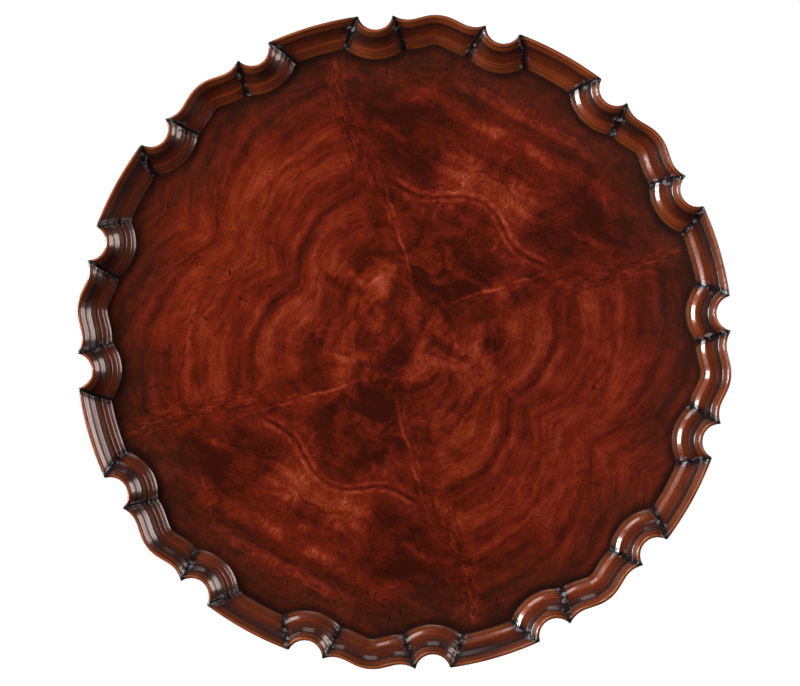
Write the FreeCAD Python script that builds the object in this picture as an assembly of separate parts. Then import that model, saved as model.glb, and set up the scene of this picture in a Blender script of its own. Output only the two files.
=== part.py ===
import FreeCAD, Part

import math
import os
from dataclasses import dataclass

# Two-tier pedestal side table, drawn in millimetres.
# +Z is up, the ground is z = 0, the column stands on the Z axis and the middle of
# one rim bracket points along +X.

# ---- overall heights -----------------------------------------------------------
TABLE_HEIGHT = 724.0
LOWER_FLOOR_Z = 330.0
HUB_BOTTOM_Z = 95.0

# ---- trays ---------------------------------------------------------------------
LIP_HEIGHT = 16.0
BOARD_THICKNESS = 17.0
VENEER_THICKNESS = 0.8
TOP_RADIUS = 355.5
TOP_REPEATS = 8
LOWER_RADIUS = 266.5
LOWER_REPEATS = 6

# ---- piecrust outline: convex bracket, concave flanks, scallops, long arcs ---------
BRACKET_RADIUS = 45.3
BRACKET_HALF_ANGLE = math.radians(20.0)
BRACKET_STRAIGHT = 12.5
FLANK_RADIUS = 29.1
SCALLOP_RADIUS = 18.9
SCALLOP_CENTRE_OUT = 2.3

# ---- rim moulding: (distance in from the outline, height over the tray floor) ------
# from the foot round the underside to the lip, down a long slope, then a steep bead
RIM_WIDTH = 31.0
RIM_REPEATS_PER_PIECE = 2
CORE_INSET = 27.5
UNDERCUT_INSET = 4.5
UNDERCUT_HEIGHT = -8.0
TOP_MOULDING = (
    (RIM_WIDTH, -BOARD_THICKNESS),
    (UNDERCUT_INSET, -BOARD_THICKNESS),
    (0.0, UNDERCUT_HEIGHT),
    (0.0, 13.8),
    (1.9, LIP_HEIGHT),
    (3.1, LIP_HEIGHT),
    (4.2, 14.2),
    (20.7, 6.3),
    (26.4, 2.2),
    (RIM_WIDTH, 0.0),
)
LOWER_MOULDING = (
    (RIM_WIDTH, -BOARD_THICKNESS),
    (UNDERCUT_INSET, -BOARD_THICKNESS),
    (0.0, UNDERCUT_HEIGHT),
    (0.0, LIP_HEIGHT),
    (3.1, LIP_HEIGHT),
    (4.2, 14.2),
    (20.7, 6.3),
    (RIM_WIDTH, 0.0),
)

# ---- turned column and plates ----------------------------------------------------
BORE_RADIUS = 6.5
SPIGOT_RADIUS = 22.0
SPIGOT_RISE = 20.0
JOINT_CLEARANCE = 0.1
TOP_PLATE_RADIUS = 120.0
TOP_PLATE_THICKNESS = 22.0
LOWER_PLATE_RADIUS = 85.0
LOWER_PLATE_THICKNESS = 18.0
PLATE_HOLLOW_INSET = 26.0
PLATE_HOLLOW_MIDDLE = (13.0, 3.0)
PLATE_FILLET = 4.0
PLATE_EDGE_HEIGHT = 7.0
HUB_RADIUS = 42.0
HUB_HEIGHT = 96.0
HUB_ROUNDING = 4.0
NUT_POCKET_RADIUS = 17.0
NUT_POCKET_DEPTH = 14.0
SOCKET_HEADROOM = 1.0

# ---- turned outlines: lines (end,) and arcs (middle, end) as (radius, height) ----------
PROFILE_CHORD_ANGLE = math.radians(40.0)
UPPER_COLUMN_OVER_FLOOR = (
    ((37.0, 0.0),),
    ((40.0, 6.0), (37.0, 12.0)),
    ((32.0, 14.0),),
    ((27.5, 21.0), (31.0, 29.0)),
    ((38.0, 62.0), (25.0, 100.0)),
    ((18.0, 180.0), (16.5, 258.0)),
    ((21.0, 261.0),),
    ((23.5, 266.0), (21.0, 271.0)),
    ((16.5, 274.0),),
)
UPPER_COLUMN_UNDER_PLATE = (
    ((19.0, -38.0), (28.0, -20.0)),
    ((32.0, -18.0),),
    ((32.0, 0.0),),
)
LOWER_COLUMN_OVER_HUB = (
    ((31.0, 6.0), (29.0, 16.0)),
    ((35.0, 40.0), (26.0, 70.0)),
    ((24.0, 73.0),),
)
LOWER_COLUMN_UNDER_PLATE = (
    ((26.0, -14.0), (34.0, -5.0)),
    ((34.0, 0.0),),
)

# ---- tie rod and leg spider ---------------------------------------------------------
ROD_RADIUS = 6.0
NUT_SIDES = 6
NUT_ACROSS_FLATS = 19.0
NUT_THICKNESS = 10.0
WASHER_WIDTH = 23.0
WASHER_THICKNESS = 2.5
ROD_PROUD_ABOVE = 0.5
ROD_PROUD_BELOW = 6.0
SPIDER_THICKNESS = 3.0
SPIDER_ARM_WIDTH = 26.0
SPIDER_ARM_REACH = 80.0

# ---- cabriole legs: points as (distance out from the axis, height), joined by arcs ----
LEG_ANGLES = (-90.0, 30.0, 150.0)
LEG_ROOT_RADIAL = 36.0
LEG_SOLE_END = (84.0, HUB_BOTTOM_Z)
LEG_UNDER_RISE = math.radians(25.0)
LEG_UNDER_STOPS = ((126.0, 104.0), (172.0, 80.0), (211.0, 39.0), (262.0, 8.0))
LEG_ROOT_TOP = (LEG_ROOT_RADIAL, 184.0)
LEG_UPPER_RISE = math.radians(14.0)
LEG_UPPER_STOPS = ((120.0, 180.0), (184.0, 124.0), (225.0, 62.0), (275.0, 30.0))
LEG_PLAN_TAPER = ((30.0, 23.0), (110.0, 21.0), (235.0, 13.5), (290.0, 13.5))
LEG_WIDTH = 46.0
FOOT_RADIAL = 282.0
FOOT_OUTLINE = (
    ((23.0, 0.0),),
    ((30.0, 7.0),),
    ((28.0, 15.0),),
    ((16.0, 27.0),),
    ((0.0, 30.0),),
)
DOVETAIL_BACK_RADIAL = 27.0
DOVETAIL_BACK_HALF_WIDTH = 12.0
DOVETAIL_NECK_HALF_WIDTH = 9.0
DOVETAIL_HEIGHT = 84.0
DOVETAIL_OVERLAP = 3.0

ORIGIN = FreeCAD.Vector(0, 0, 0)
UP = FreeCAD.Vector(0, 0, 1)
TOP_FLOOR_Z = TABLE_HEIGHT - LIP_HEIGHT
TOP_UNDERSIDE_Z = TOP_FLOOR_Z - BOARD_THICKNESS
TOP_PLATE_Z = TOP_UNDERSIDE_Z - TOP_PLATE_THICKNESS
LOWER_UNDERSIDE_Z = LOWER_FLOOR_Z - BOARD_THICKNESS
LOWER_PLATE_Z = LOWER_UNDERSIDE_Z - LOWER_PLATE_THICKNESS
HUB_TOP_Z = HUB_BOTTOM_Z + HUB_HEIGHT


# ---- helpers ------------------------------------------------------------------------
def polar(radius, angle):
    """Point at a radius and an angle in radians on the XY plane."""
    return FreeCAD.Vector(radius * math.cos(angle), radius * math.sin(angle), 0)


def mirrored(point):
    """The point reflected across the XZ plane."""
    return FreeCAD.Vector(point.x, -point.y, point.z)


def turned(shape, degrees):
    """Copy of a shape turned about the Z axis."""
    copy = shape.copy()
    copy.rotate(ORIGIN, UP, degrees)
    return copy


def around(shape, count):
    """Copies of a shape spaced evenly about the Z axis."""
    return [turned(shape, 360.0 * index / count) for index in range(count)]


def circles_meet(centre_a, radius_a, centre_b, radius_b):
    """Both crossing points of two circles on the XY plane."""
    gap = centre_b - centre_a
    along = (gap.Length**2 + radius_a**2 - radius_b**2) / (2 * gap.Length)
    across = math.sqrt(radius_a**2 - along**2)
    unit = gap / gap.Length
    normal = FreeCAD.Vector(-unit.y, unit.x, 0)
    foot = centre_a + unit * along
    return foot + normal * across, foot - normal * across


def short_arc(centre, radius, start, end):
    """Edge along a circle, the short way from start to end."""
    middle_direction = (start - centre) + (end - centre)
    middle_direction.normalize()
    return Part.Arc(start, centre + middle_direction * radius, end).toShape()


def on_xz(point):
    """A (distance, height) pair as a point on the XZ plane."""
    return FreeCAD.Vector(point[0], 0, point[1])


def profile_points(start, steps):
    """Points along lines (end,) and arcs (via, end), the arcs taken as short chords."""
    points = [on_xz(start)]
    for step in steps:
        end = on_xz(step[-1])
        if len(step) == 2:
            curve = Part.Arc(points[-1], on_xz(step[0]), end)
            swept = curve.LastParameter - curve.FirstParameter
            chords = max(2, round(swept / PROFILE_CHORD_ANGLE))
            points += curve.toShape().discretize(Number=chords + 1)[1:]
        else:
            points.append(end)
    return points


def raised(steps, height):
    """The same lines and arcs moved up."""
    return [tuple((radius, z + height) for radius, z in step) for step in steps]


def turning(start, steps):
    """Solid turned about Z from a half profile in (radius, height)."""
    points = profile_points(start, steps)
    return Part.Face(Part.makePolygon(points + points[:1])).revolve(ORIGIN, UP, 360)


def cylinder(radius, bottom, top):
    """Solid cylinder on the Z axis between two heights."""
    return Part.makeCylinder(radius, top - bottom, UP * bottom)


def placed(shape, radial):
    """Copy of a shape moved out along +X."""
    copy = shape.copy()
    copy.translate(FreeCAD.Vector(radial, 0, 0))
    return copy


# ---- piecrust rim -----------------------------------------------------------------------
@dataclass(frozen=True)
class PiecrustOutline:
    """Outline of one tray, and the outlines a constant distance inside it."""

    radius: float
    repeats: int

    @property
    def pitch(self):
        return 2 * math.pi / self.repeats

    @property
    def bracket_centre(self):
        return FreeCAD.Vector(self.radius - BRACKET_RADIUS, 0, 0)

    @property
    def flank_centre(self):
        return self.straight_end(0) + polar(FLANK_RADIUS, BRACKET_HALF_ANGLE)

    @property
    def scallop_centre(self):
        return polar(self.radius + SCALLOP_CENTRE_OUT, self.pitch / 4)

    def bracket_end(self, inset):
        """End of the convex bracket arc."""
        return self.bracket_centre + polar(BRACKET_RADIUS - inset, BRACKET_HALF_ANGLE)

    def straight_end(self, inset):
        """End of the straight beside the bracket arc."""
        along = polar(BRACKET_STRAIGHT, BRACKET_HALF_ANGLE + math.pi / 2)
        return self.bracket_end(inset) + along

    def inner_mitre(self, inset):
        """Mitre between flank and scallop, on a hyperbola as the inset grows."""
        crossings = circles_meet(
            self.scallop_centre,
            SCALLOP_RADIUS + inset,
            self.flank_centre,
            FLANK_RADIUS + inset,
        )
        return min(crossings, key=lambda point: point.Length)

    def outer_mitre(self, inset):
        """Mitre between scallop and long arc, on an ellipse as the inset grows."""
        crossings = circles_meet(
            ORIGIN, self.radius - inset, self.scallop_centre, SCALLOP_RADIUS + inset
        )
        return max(crossings, key=lambda point: math.atan2(point.y, point.x))

    def repeat_edges(self, inset):
        """Edges of one bracket and its neighbours, from joint to joint."""
        half_stops = [
            self.bracket_end(inset),
            self.straight_end(inset),
            self.inner_mitre(inset),
            self.outer_mitre(inset),
            polar(self.radius - inset, self.pitch / 2),
        ]
        half_arcs = [
            None,
            (self.flank_centre, FLANK_RADIUS + inset),
            (self.scallop_centre, SCALLOP_RADIUS + inset),
            (ORIGIN, self.radius - inset),
        ]
        before = [arc and (mirrored(arc[0]), arc[1]) for arc in reversed(half_arcs)]
        arcs = before + [(self.bracket_centre, BRACKET_RADIUS - inset)] + half_arcs
        stops = [mirrored(stop) for stop in reversed(half_stops)] + half_stops
        edges = []
        for arc, start, end in zip(arcs, stops, stops[1:]):
            if arc is None:
                edges.append(Part.makeLine(start, end))
            else:
                edges.append(short_arc(arc[0], arc[1], start, end))
        return edges

    def level(self, inset, height, repeats):
        """Open wire along several repeats, moved in by inset and up to height."""
        edges = []
        for index in range(repeats):
            for edge in self.repeat_edges(inset):
                edges.append(turned(edge, math.degrees(self.pitch) * index))
        wire = Part.Wire(edges)
        wire.translate(UP * height)
        return wire


def moulding_band(outline, lower, upper, repeats):
    """Faces between two lines of the moulding, flat where their heights agree."""
    first = outline.level(*lower, repeats)
    second = outline.level(*upper, repeats)
    if lower[1] != upper[1]:
        return Part.makeLoft([first, second], False, True).Faces
    ends = []
    for index in (0, -1):
        start = first.OrderedVertexes[index].Point
        end = second.OrderedVertexes[index].Point
        ends.append(Part.makeLine(start, end))
    return [Part.Face(Part.Wire(Part.__sortEdges__(first.Edges + second.Edges + ends)))]


def rim_piece(outline, moulding, repeats):
    """One length of piecrust rim, rebated to sit over the edge of the core board."""
    faces = []
    for lower, upper in zip(moulding, moulding[1:] + moulding[:1]):
        faces += moulding_band(outline, lower, upper, repeats)
    for angle in (-outline.pitch / 2, outline.pitch * (repeats - 0.5)):
        section = [polar(outline.radius - inset, angle) + UP * z for inset, z in moulding]
        faces.append(Part.Face(Part.makePolygon(section + section[:1])))
    shell = Part.makeShell(faces)
    shell.sewShape()
    core = cylinder(outline.radius - CORE_INSET, -BOARD_THICKNESS, -VENEER_THICKNESS)
    return Part.Solid(shell).cut(core).Solids[0]


@dataclass(frozen=True)
class Tray:
    """A dished tray: veneered core board inside a mitred piecrust rim."""

    name: str
    outline: PiecrustOutline
    moulding: tuple
    floor_z: float

    def rims(self):
        """Rim pieces, butted at the middles of the long arcs."""
        rim = rim_piece(self.outline, self.moulding, RIM_REPEATS_PER_PIECE)
        rim.translate(UP * self.floor_z)
        rims = around(rim, self.outline.repeats // RIM_REPEATS_PER_PIECE)
        return {f"{self.name}_rim_{index}": one for index, one in enumerate(rims, start=1)}

    def board(self):
        """Core board under the veneer and the foot of the rim."""
        core_radius = self.outline.radius - CORE_INSET
        underside = self.floor_z - BOARD_THICKNESS
        return cylinder(core_radius, underside, self.floor_z - VENEER_THICKNESS)

    def veneer(self):
        """Radial veneer leaves, one to each repeat, sawn to the foot of the moulding."""
        edges = self.outline.repeat_edges(RIM_WIDTH)
        edges.append(Part.makeLine(edges[-1].Vertexes[-1].Point, ORIGIN))
        edges.append(Part.makeLine(ORIGIN, edges[0].Vertexes[0].Point))
        face = Part.Face(Part.Wire(Part.__sortEdges__(edges)))
        face.translate(UP * self.floor_z)
        leaves = around(face.extrude(UP * -VENEER_THICKNESS), self.outline.repeats)
        return {
            f"{self.name}_veneer_leaf_{index}": one
            for index, one in enumerate(leaves, start=1)
        }

    def pieces(self):
        """Every piece of the tray by name."""
        return {f"{self.name}_board": self.board(), **self.veneer(), **self.rims()}


def top_tray():
    """Upper tray: veneered core board and rim."""
    tray = Tray(
        name="top_tray",
        outline=PiecrustOutline(TOP_RADIUS, TOP_REPEATS),
        moulding=TOP_MOULDING,
        floor_z=TOP_FLOOR_Z,
    )
    return tray.pieces()


def lower_tray():
    """Lower tray: board and veneer bored for the column spigot, and rim."""
    tray = Tray(
        name="lower_tray",
        outline=PiecrustOutline(LOWER_RADIUS, LOWER_REPEATS),
        moulding=LOWER_MOULDING,
        floor_z=LOWER_FLOOR_Z,
    )
    bore = cylinder(SPIGOT_RADIUS + JOINT_CLEARANCE, LOWER_UNDERSIDE_Z, LOWER_FLOOR_Z)
    return {name: shape.cut(bore) for name, shape in tray.pieces().items()}


# ---- tie rod and spider ------------------------------------------------------------------
def nut(bottom):
    """Hexagon nut on the Z axis."""
    pitch = 2 * math.pi / NUT_SIDES
    corner = NUT_ACROSS_FLATS / 2 / math.cos(pitch / 2)
    corners = [polar(corner, pitch * index) + UP * bottom for index in range(NUT_SIDES)]
    hexagon = Part.Face(Part.makePolygon(corners + corners[:1])).extrude(UP * NUT_THICKNESS)
    return hexagon.cut(cylinder(ROD_RADIUS, bottom, bottom + NUT_THICKNESS))


def washer(bottom):
    """Square plate washer on the Z axis."""
    corner = FreeCAD.Vector(-WASHER_WIDTH / 2, -WASHER_WIDTH / 2, bottom)
    plate = Part.makeBox(WASHER_WIDTH, WASHER_WIDTH, WASHER_THICKNESS, corner)
    return plate.cut(cylinder(BORE_RADIUS, bottom, bottom + WASHER_THICKNESS))


def spider():
    """Three-armed iron plate that ties the leg roots together under the hub."""
    bottom = HUB_BOTTOM_Z - SPIDER_THICKNESS
    corner = FreeCAD.Vector(0, -SPIDER_ARM_WIDTH / 2, bottom)
    arm = Part.makeBox(SPIDER_ARM_REACH, SPIDER_ARM_WIDTH, SPIDER_THICKNESS, corner)
    arms = [turned(arm, degrees) for degrees in LEG_ANGLES]
    plate = arms[0].fuse(arms[1:]).removeSplitter()
    return plate.cut(cylinder(BORE_RADIUS, bottom, HUB_BOTTOM_Z))


def tie_hardware():
    """Steel rod through the whole column with a washer and nut at each end."""
    upper_washer = TOP_UNDERSIDE_Z - NUT_POCKET_DEPTH
    upper_nut = upper_washer + WASHER_THICKNESS
    lower_washer = HUB_BOTTOM_Z - SPIDER_THICKNESS - WASHER_THICKNESS
    lower_nut = lower_washer - NUT_THICKNESS
    rod_top = upper_nut + NUT_THICKNESS + ROD_PROUD_ABOVE
    return {
        "tie_rod": cylinder(ROD_RADIUS, lower_nut - ROD_PROUD_BELOW, rod_top),
        "tie_rod_upper_washer": washer(upper_washer),
        "tie_rod_upper_nut": nut(upper_nut),
        "tie_rod_lower_washer": washer(lower_washer),
        "tie_rod_lower_nut": nut(lower_nut),
    }


# ---- turned column -------------------------------------------------------------------------
def plate_under(bottom, thickness, radius):
    """Turned plate with a hollowed edge, bored for the column."""
    top = bottom + thickness
    bore = SPIGOT_RADIUS + JOINT_CLEARANCE
    middle_inset, middle_rise = PLATE_HOLLOW_MIDDLE
    hollow_middle = (radius - middle_inset, bottom + middle_rise)
    hollow_end = (radius - PLATE_FILLET, top - PLATE_EDGE_HEIGHT)
    return turning(
        (bore, bottom),
        [
            ((radius - PLATE_HOLLOW_INSET, bottom),),
            (hollow_middle, hollow_end),
            ((radius, top - PLATE_EDGE_HEIGHT),),
            ((radius, top),),
            ((bore, top),),
        ],
    )


def upper_column():
    """Vase-and-ring column between the trays, with a tenon up and a socket below."""
    tenon_top = TOP_UNDERSIDE_Z
    socket = SPIGOT_RADIUS + JOINT_CLEARANCE
    socket_top = LOWER_FLOOR_Z + SPIGOT_RISE + SOCKET_HEADROOM
    pocket_bottom = tenon_top - NUT_POCKET_DEPTH
    return turning(
        (socket, LOWER_FLOOR_Z),
        [
            *raised(UPPER_COLUMN_OVER_FLOOR, LOWER_FLOOR_Z),
            *raised(UPPER_COLUMN_UNDER_PLATE, TOP_PLATE_Z),
            ((SPIGOT_RADIUS, TOP_PLATE_Z),),
            ((SPIGOT_RADIUS, tenon_top),),
            ((NUT_POCKET_RADIUS, tenon_top),),
            ((NUT_POCKET_RADIUS, pocket_bottom),),
            ((BORE_RADIUS, pocket_bottom),),
            ((BORE_RADIUS, socket_top),),
            ((socket, socket_top),),
        ],
    )


def lower_column():
    """Short turned stem over the leg hub, with the spigot that carries the lower tray."""
    spigot_top = LOWER_FLOOR_Z + SPIGOT_RISE
    stem = turning(
        (BORE_RADIUS, HUB_BOTTOM_Z),
        [
            ((HUB_RADIUS, HUB_BOTTOM_Z),),
            ((HUB_RADIUS, HUB_TOP_Z - HUB_ROUNDING),),
            ((HUB_RADIUS - HUB_ROUNDING, HUB_TOP_Z),),
            *raised(LOWER_COLUMN_OVER_HUB, HUB_TOP_Z),
            *raised(LOWER_COLUMN_UNDER_PLATE, LOWER_PLATE_Z),
            ((SPIGOT_RADIUS, LOWER_PLATE_Z),),
            ((SPIGOT_RADIUS, spigot_top),),
            ((BORE_RADIUS, spigot_top),),
        ],
    )
    return stem.cut([turned(dovetail(JOINT_CLEARANCE), angle) for angle in LEG_ANGLES])


def dovetail(clearance):
    """Sliding dovetail on the leg root, or its socket when given a clearance."""
    back = DOVETAIL_BACK_RADIAL - clearance
    back_half = DOVETAIL_BACK_HALF_WIDTH + clearance
    neck = HUB_RADIUS + DOVETAIL_OVERLAP
    neck_half = DOVETAIL_NECK_HALF_WIDTH + clearance
    corners = [
        FreeCAD.Vector(back, -back_half, HUB_BOTTOM_Z),
        FreeCAD.Vector(neck, -neck_half, HUB_BOTTOM_Z),
        FreeCAD.Vector(neck, neck_half, HUB_BOTTOM_Z),
        FreeCAD.Vector(back, back_half, HUB_BOTTOM_Z),
    ]
    section = Part.Face(Part.makePolygon(corners + corners[:1]))
    return section.extrude(UP * (DOVETAIL_HEIGHT + clearance))


# ---- cabriole leg ----------------------------------------------------------------------------
def flowing_edges(start, rise, stops):
    """Arcs on XZ from start through the stops, each tangent to the one before it."""
    edges = []
    here = on_xz(start)
    heading = FreeCAD.Vector(math.cos(rise), 0, math.sin(rise))
    for stop in stops:
        there = on_xz(stop)
        chord = there - here
        along = chord / chord.Length
        turn = heading.getAngle(along)
        aside = heading - along * heading.dot(along)
        aside.normalize()
        sagitta = chord.Length / 2 * math.tan(turn / 2)
        via = (here + there) / 2 + aside * sagitta
        edges.append(Part.Arc(here, via, there).toShape())
        heading = along * (2 * heading.dot(along)) - heading
        here = there
    return edges


def leg_side_profile():
    """Side view of the leg as a face on XZ."""
    root_bottom = (LEG_ROOT_RADIAL, HUB_BOTTOM_Z)
    toe_low = (FOOT_RADIAL, LEG_UNDER_STOPS[-1][1])
    toe_high = (FOOT_RADIAL, LEG_UPPER_STOPS[-1][1])
    straights = (
        (root_bottom, LEG_SOLE_END),
        (LEG_UNDER_STOPS[-1], toe_low),
        (toe_low, toe_high),
        (toe_high, LEG_UPPER_STOPS[-1]),
        (LEG_ROOT_TOP, root_bottom),
    )
    edges = [Part.makeLine(on_xz(start), on_xz(end)) for start, end in straights]
    edges += flowing_edges(LEG_SOLE_END, LEG_UNDER_RISE, LEG_UNDER_STOPS)
    edges += flowing_edges(LEG_ROOT_TOP, LEG_UPPER_RISE, LEG_UPPER_STOPS)
    return Part.Face(Part.Wire(Part.__sortEdges__(edges)))


def leg_plan_taper():
    """Prism that narrows the leg from its root to its ankle."""
    left = [FreeCAD.Vector(radial, half, 0) for radial, half in LEG_PLAN_TAPER]
    right = [mirrored(point) for point in reversed(left)]
    plan = Part.Face(Part.makePolygon(left + right + left[:1]))
    return plan.extrude(UP * LOWER_FLOOR_Z)


def pad_foot():
    """Turned pad under the ankle."""
    return placed(turning((0, 0), FOOT_OUTLINE), FOOT_RADIAL)


def leg():
    """Cabriole leg along +X: sawn profile, tapered in plan, with pad foot and dovetail."""
    blank = leg_side_profile().extrude(FreeCAD.Vector(0, LEG_WIDTH, 0))
    blank.translate(FreeCAD.Vector(0, -LEG_WIDTH / 2, 0))
    body = blank.common(leg_plan_taper())
    body = body.cut(cylinder(HUB_RADIUS, HUB_BOTTOM_Z, HUB_TOP_Z))
    return body.fuse([dovetail(0), pad_foot()]).removeSplitter()


# ---- whole table -------------------------------------------------------------------------------
def pedestal():
    """Column, plates, legs and the hardware that holds them together."""
    pieces = {
        "upper_column": upper_column(),
        "lower_column": lower_column(),
        "top_plate": plate_under(TOP_PLATE_Z, TOP_PLATE_THICKNESS, TOP_PLATE_RADIUS),
        "lower_plate": plate_under(
            LOWER_PLATE_Z, LOWER_PLATE_THICKNESS, LOWER_PLATE_RADIUS
        ),
        "leg_spider": spider(),
    }
    one_leg = leg()
    for index, degrees in enumerate(LEG_ANGLES, start=1):
        pieces[f"leg_{index}"] = turned(one_leg, degrees)
    pieces.update(tie_hardware())
    return pieces


def main():
    os.makedirs("parts", exist_ok=True)
    for pieces in (top_tray(), lower_tray(), pedestal()):
        for name, shape in pieces.items():
            shape.exportStep(f"parts/{name}.step")


main()
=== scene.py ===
"""Tiered pedestal table: its meshes, finishes, floor, lights and camera, in metres."""

import logging
import math
from collections.abc import Callable, Sequence
from dataclasses import dataclass
from enum import Enum
from typing import ClassVar

import bpy
import numpy as np
from mathutils import Matrix, Vector


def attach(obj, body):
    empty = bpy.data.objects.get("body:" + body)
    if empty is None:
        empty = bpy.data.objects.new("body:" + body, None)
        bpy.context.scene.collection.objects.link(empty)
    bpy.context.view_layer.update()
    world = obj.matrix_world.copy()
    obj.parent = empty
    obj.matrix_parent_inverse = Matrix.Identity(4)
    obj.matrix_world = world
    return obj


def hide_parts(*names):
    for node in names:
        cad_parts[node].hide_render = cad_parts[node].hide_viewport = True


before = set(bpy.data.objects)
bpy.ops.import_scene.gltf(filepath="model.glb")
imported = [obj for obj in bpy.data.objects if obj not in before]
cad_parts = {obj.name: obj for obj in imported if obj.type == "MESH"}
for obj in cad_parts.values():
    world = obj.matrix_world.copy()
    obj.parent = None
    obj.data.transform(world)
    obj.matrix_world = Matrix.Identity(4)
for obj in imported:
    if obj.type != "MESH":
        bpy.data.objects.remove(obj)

LOG = logging.getLogger("table")
MM = 0.001
Value = "Wire | float"
Point = tuple[float, float]
Run = tuple[Point, ...]
Circle = tuple[np.ndarray, float]


class Slot(Enum):
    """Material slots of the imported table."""

    RIM = "carved_rim"
    TURNED = "turned_wood"
    LEG = "leg_wood"
    STEEL = "steel"


class Tier(Enum):
    """The two trays, by the start of their node names."""

    TOP = "top_tray"
    LOWER = "lower_tray"


# ---------------- shader expressions


def colour(code: str) -> tuple[float, float, float, float]:
    """Turn a display colour into a linear one.

    Args:
        code: Six hexadecimal digits, red first.

    Returns:
        Linear red, green, blue and an alpha of one.
    """
    knee, slope, offset, power = 0.04045, 12.92, 0.055, 2.4
    parts = [int(code[index:index + 2], 16) / 255 for index in (0, 2, 4)]
    linear = [
        part / slope if part < knee else ((part + offset) / (1 + offset)) ** power
        for part in parts
    ]
    return linear[0], linear[1], linear[2], 1.0


def pick(sockets: Sequence, key: str | int) -> bpy.types.NodeSocket:
    """Find a socket in use by its name or by its place among those in use.

    Args:
        sockets: A node's inputs or outputs.
        key: The socket's name or its place.

    Returns:
        The socket.
    """
    live = [socket for socket in sockets if socket.enabled]
    if isinstance(key, int):
        return live[key]
    return next(socket for socket in live if socket.name == key)


def arithmetic(operation: str, reflected: bool = False) -> Callable[["Wire", Value], "Wire"]:
    """Make one of a wire's operators.

    Args:
        operation: What the operator does, as the nodes name it.
        reflected: Whether the plain value comes first.

    Returns:
        The method.
    """

    def method(self: "Wire", other: Value) -> "Wire":
        """Join this wire and another operand."""
        pair = (other, self) if reflected else (self, other)
        return self.graph.combine(operation, *pair)

    return method


class Wire:
    """A value, vector or colour on its way through a tree; arithmetic on it adds nodes."""

    __add__ = arithmetic("ADD")
    __radd__ = arithmetic("ADD", reflected=True)
    __sub__ = arithmetic("SUBTRACT")
    __rsub__ = arithmetic("SUBTRACT", reflected=True)
    __mul__ = arithmetic("MULTIPLY")
    __rmul__ = arithmetic("MULTIPLY", reflected=True)
    __truediv__ = arithmetic("DIVIDE")

    def __init__(self, graph: "Graph", socket: bpy.types.NodeSocket) -> None:
        """Hold one output socket of a graph."""
        self.graph = graph
        self.socket = socket

    def __abs__(self) -> "Wire":
        """Size without sign."""
        return self.graph.math("ABSOLUTE", self)

    def power(self, exponent: float) -> "Wire":
        """Raise to a power."""
        return self.graph.math("POWER", self, exponent)

    def least(self, other: Value) -> "Wire":
        """The smaller of two values."""
        return self.graph.math("MINIMUM", self, other)

    def most(self, other: Value) -> "Wire":
        """The larger of two values."""
        return self.graph.math("MAXIMUM", self, other)

    def step(self, low: float, high: float) -> "Wire":
        """Ease from nought at one value to one at another.

        Args:
            low: Value that gives nought.
            high: Value that gives one; it may be the lower of the two.

        Returns:
            A mask between nought and one.
        """
        if low > high:
            return 1.0 - self.step(high, low)
        sockets = {"Value": self, "From Min": low, "From Max": high}
        settings = {"interpolation_type": "SMOOTHSTEP"}
        return self.graph.node("ShaderNodeMapRange", sockets, settings)

    def blend(self, low: Value, high: Value) -> "Wire":
        """Mix two colours, this wire being the share of the second.

        Args:
            low: Colour where this wire is nought.
            high: Colour where this wire is one.

        Returns:
            The mixed colour.
        """
        sockets = {"Factor": self, "A": low, "B": high}
        return self.graph.node("ShaderNodeMix", sockets, {"data_type": Graph.COLOUR})


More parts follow.
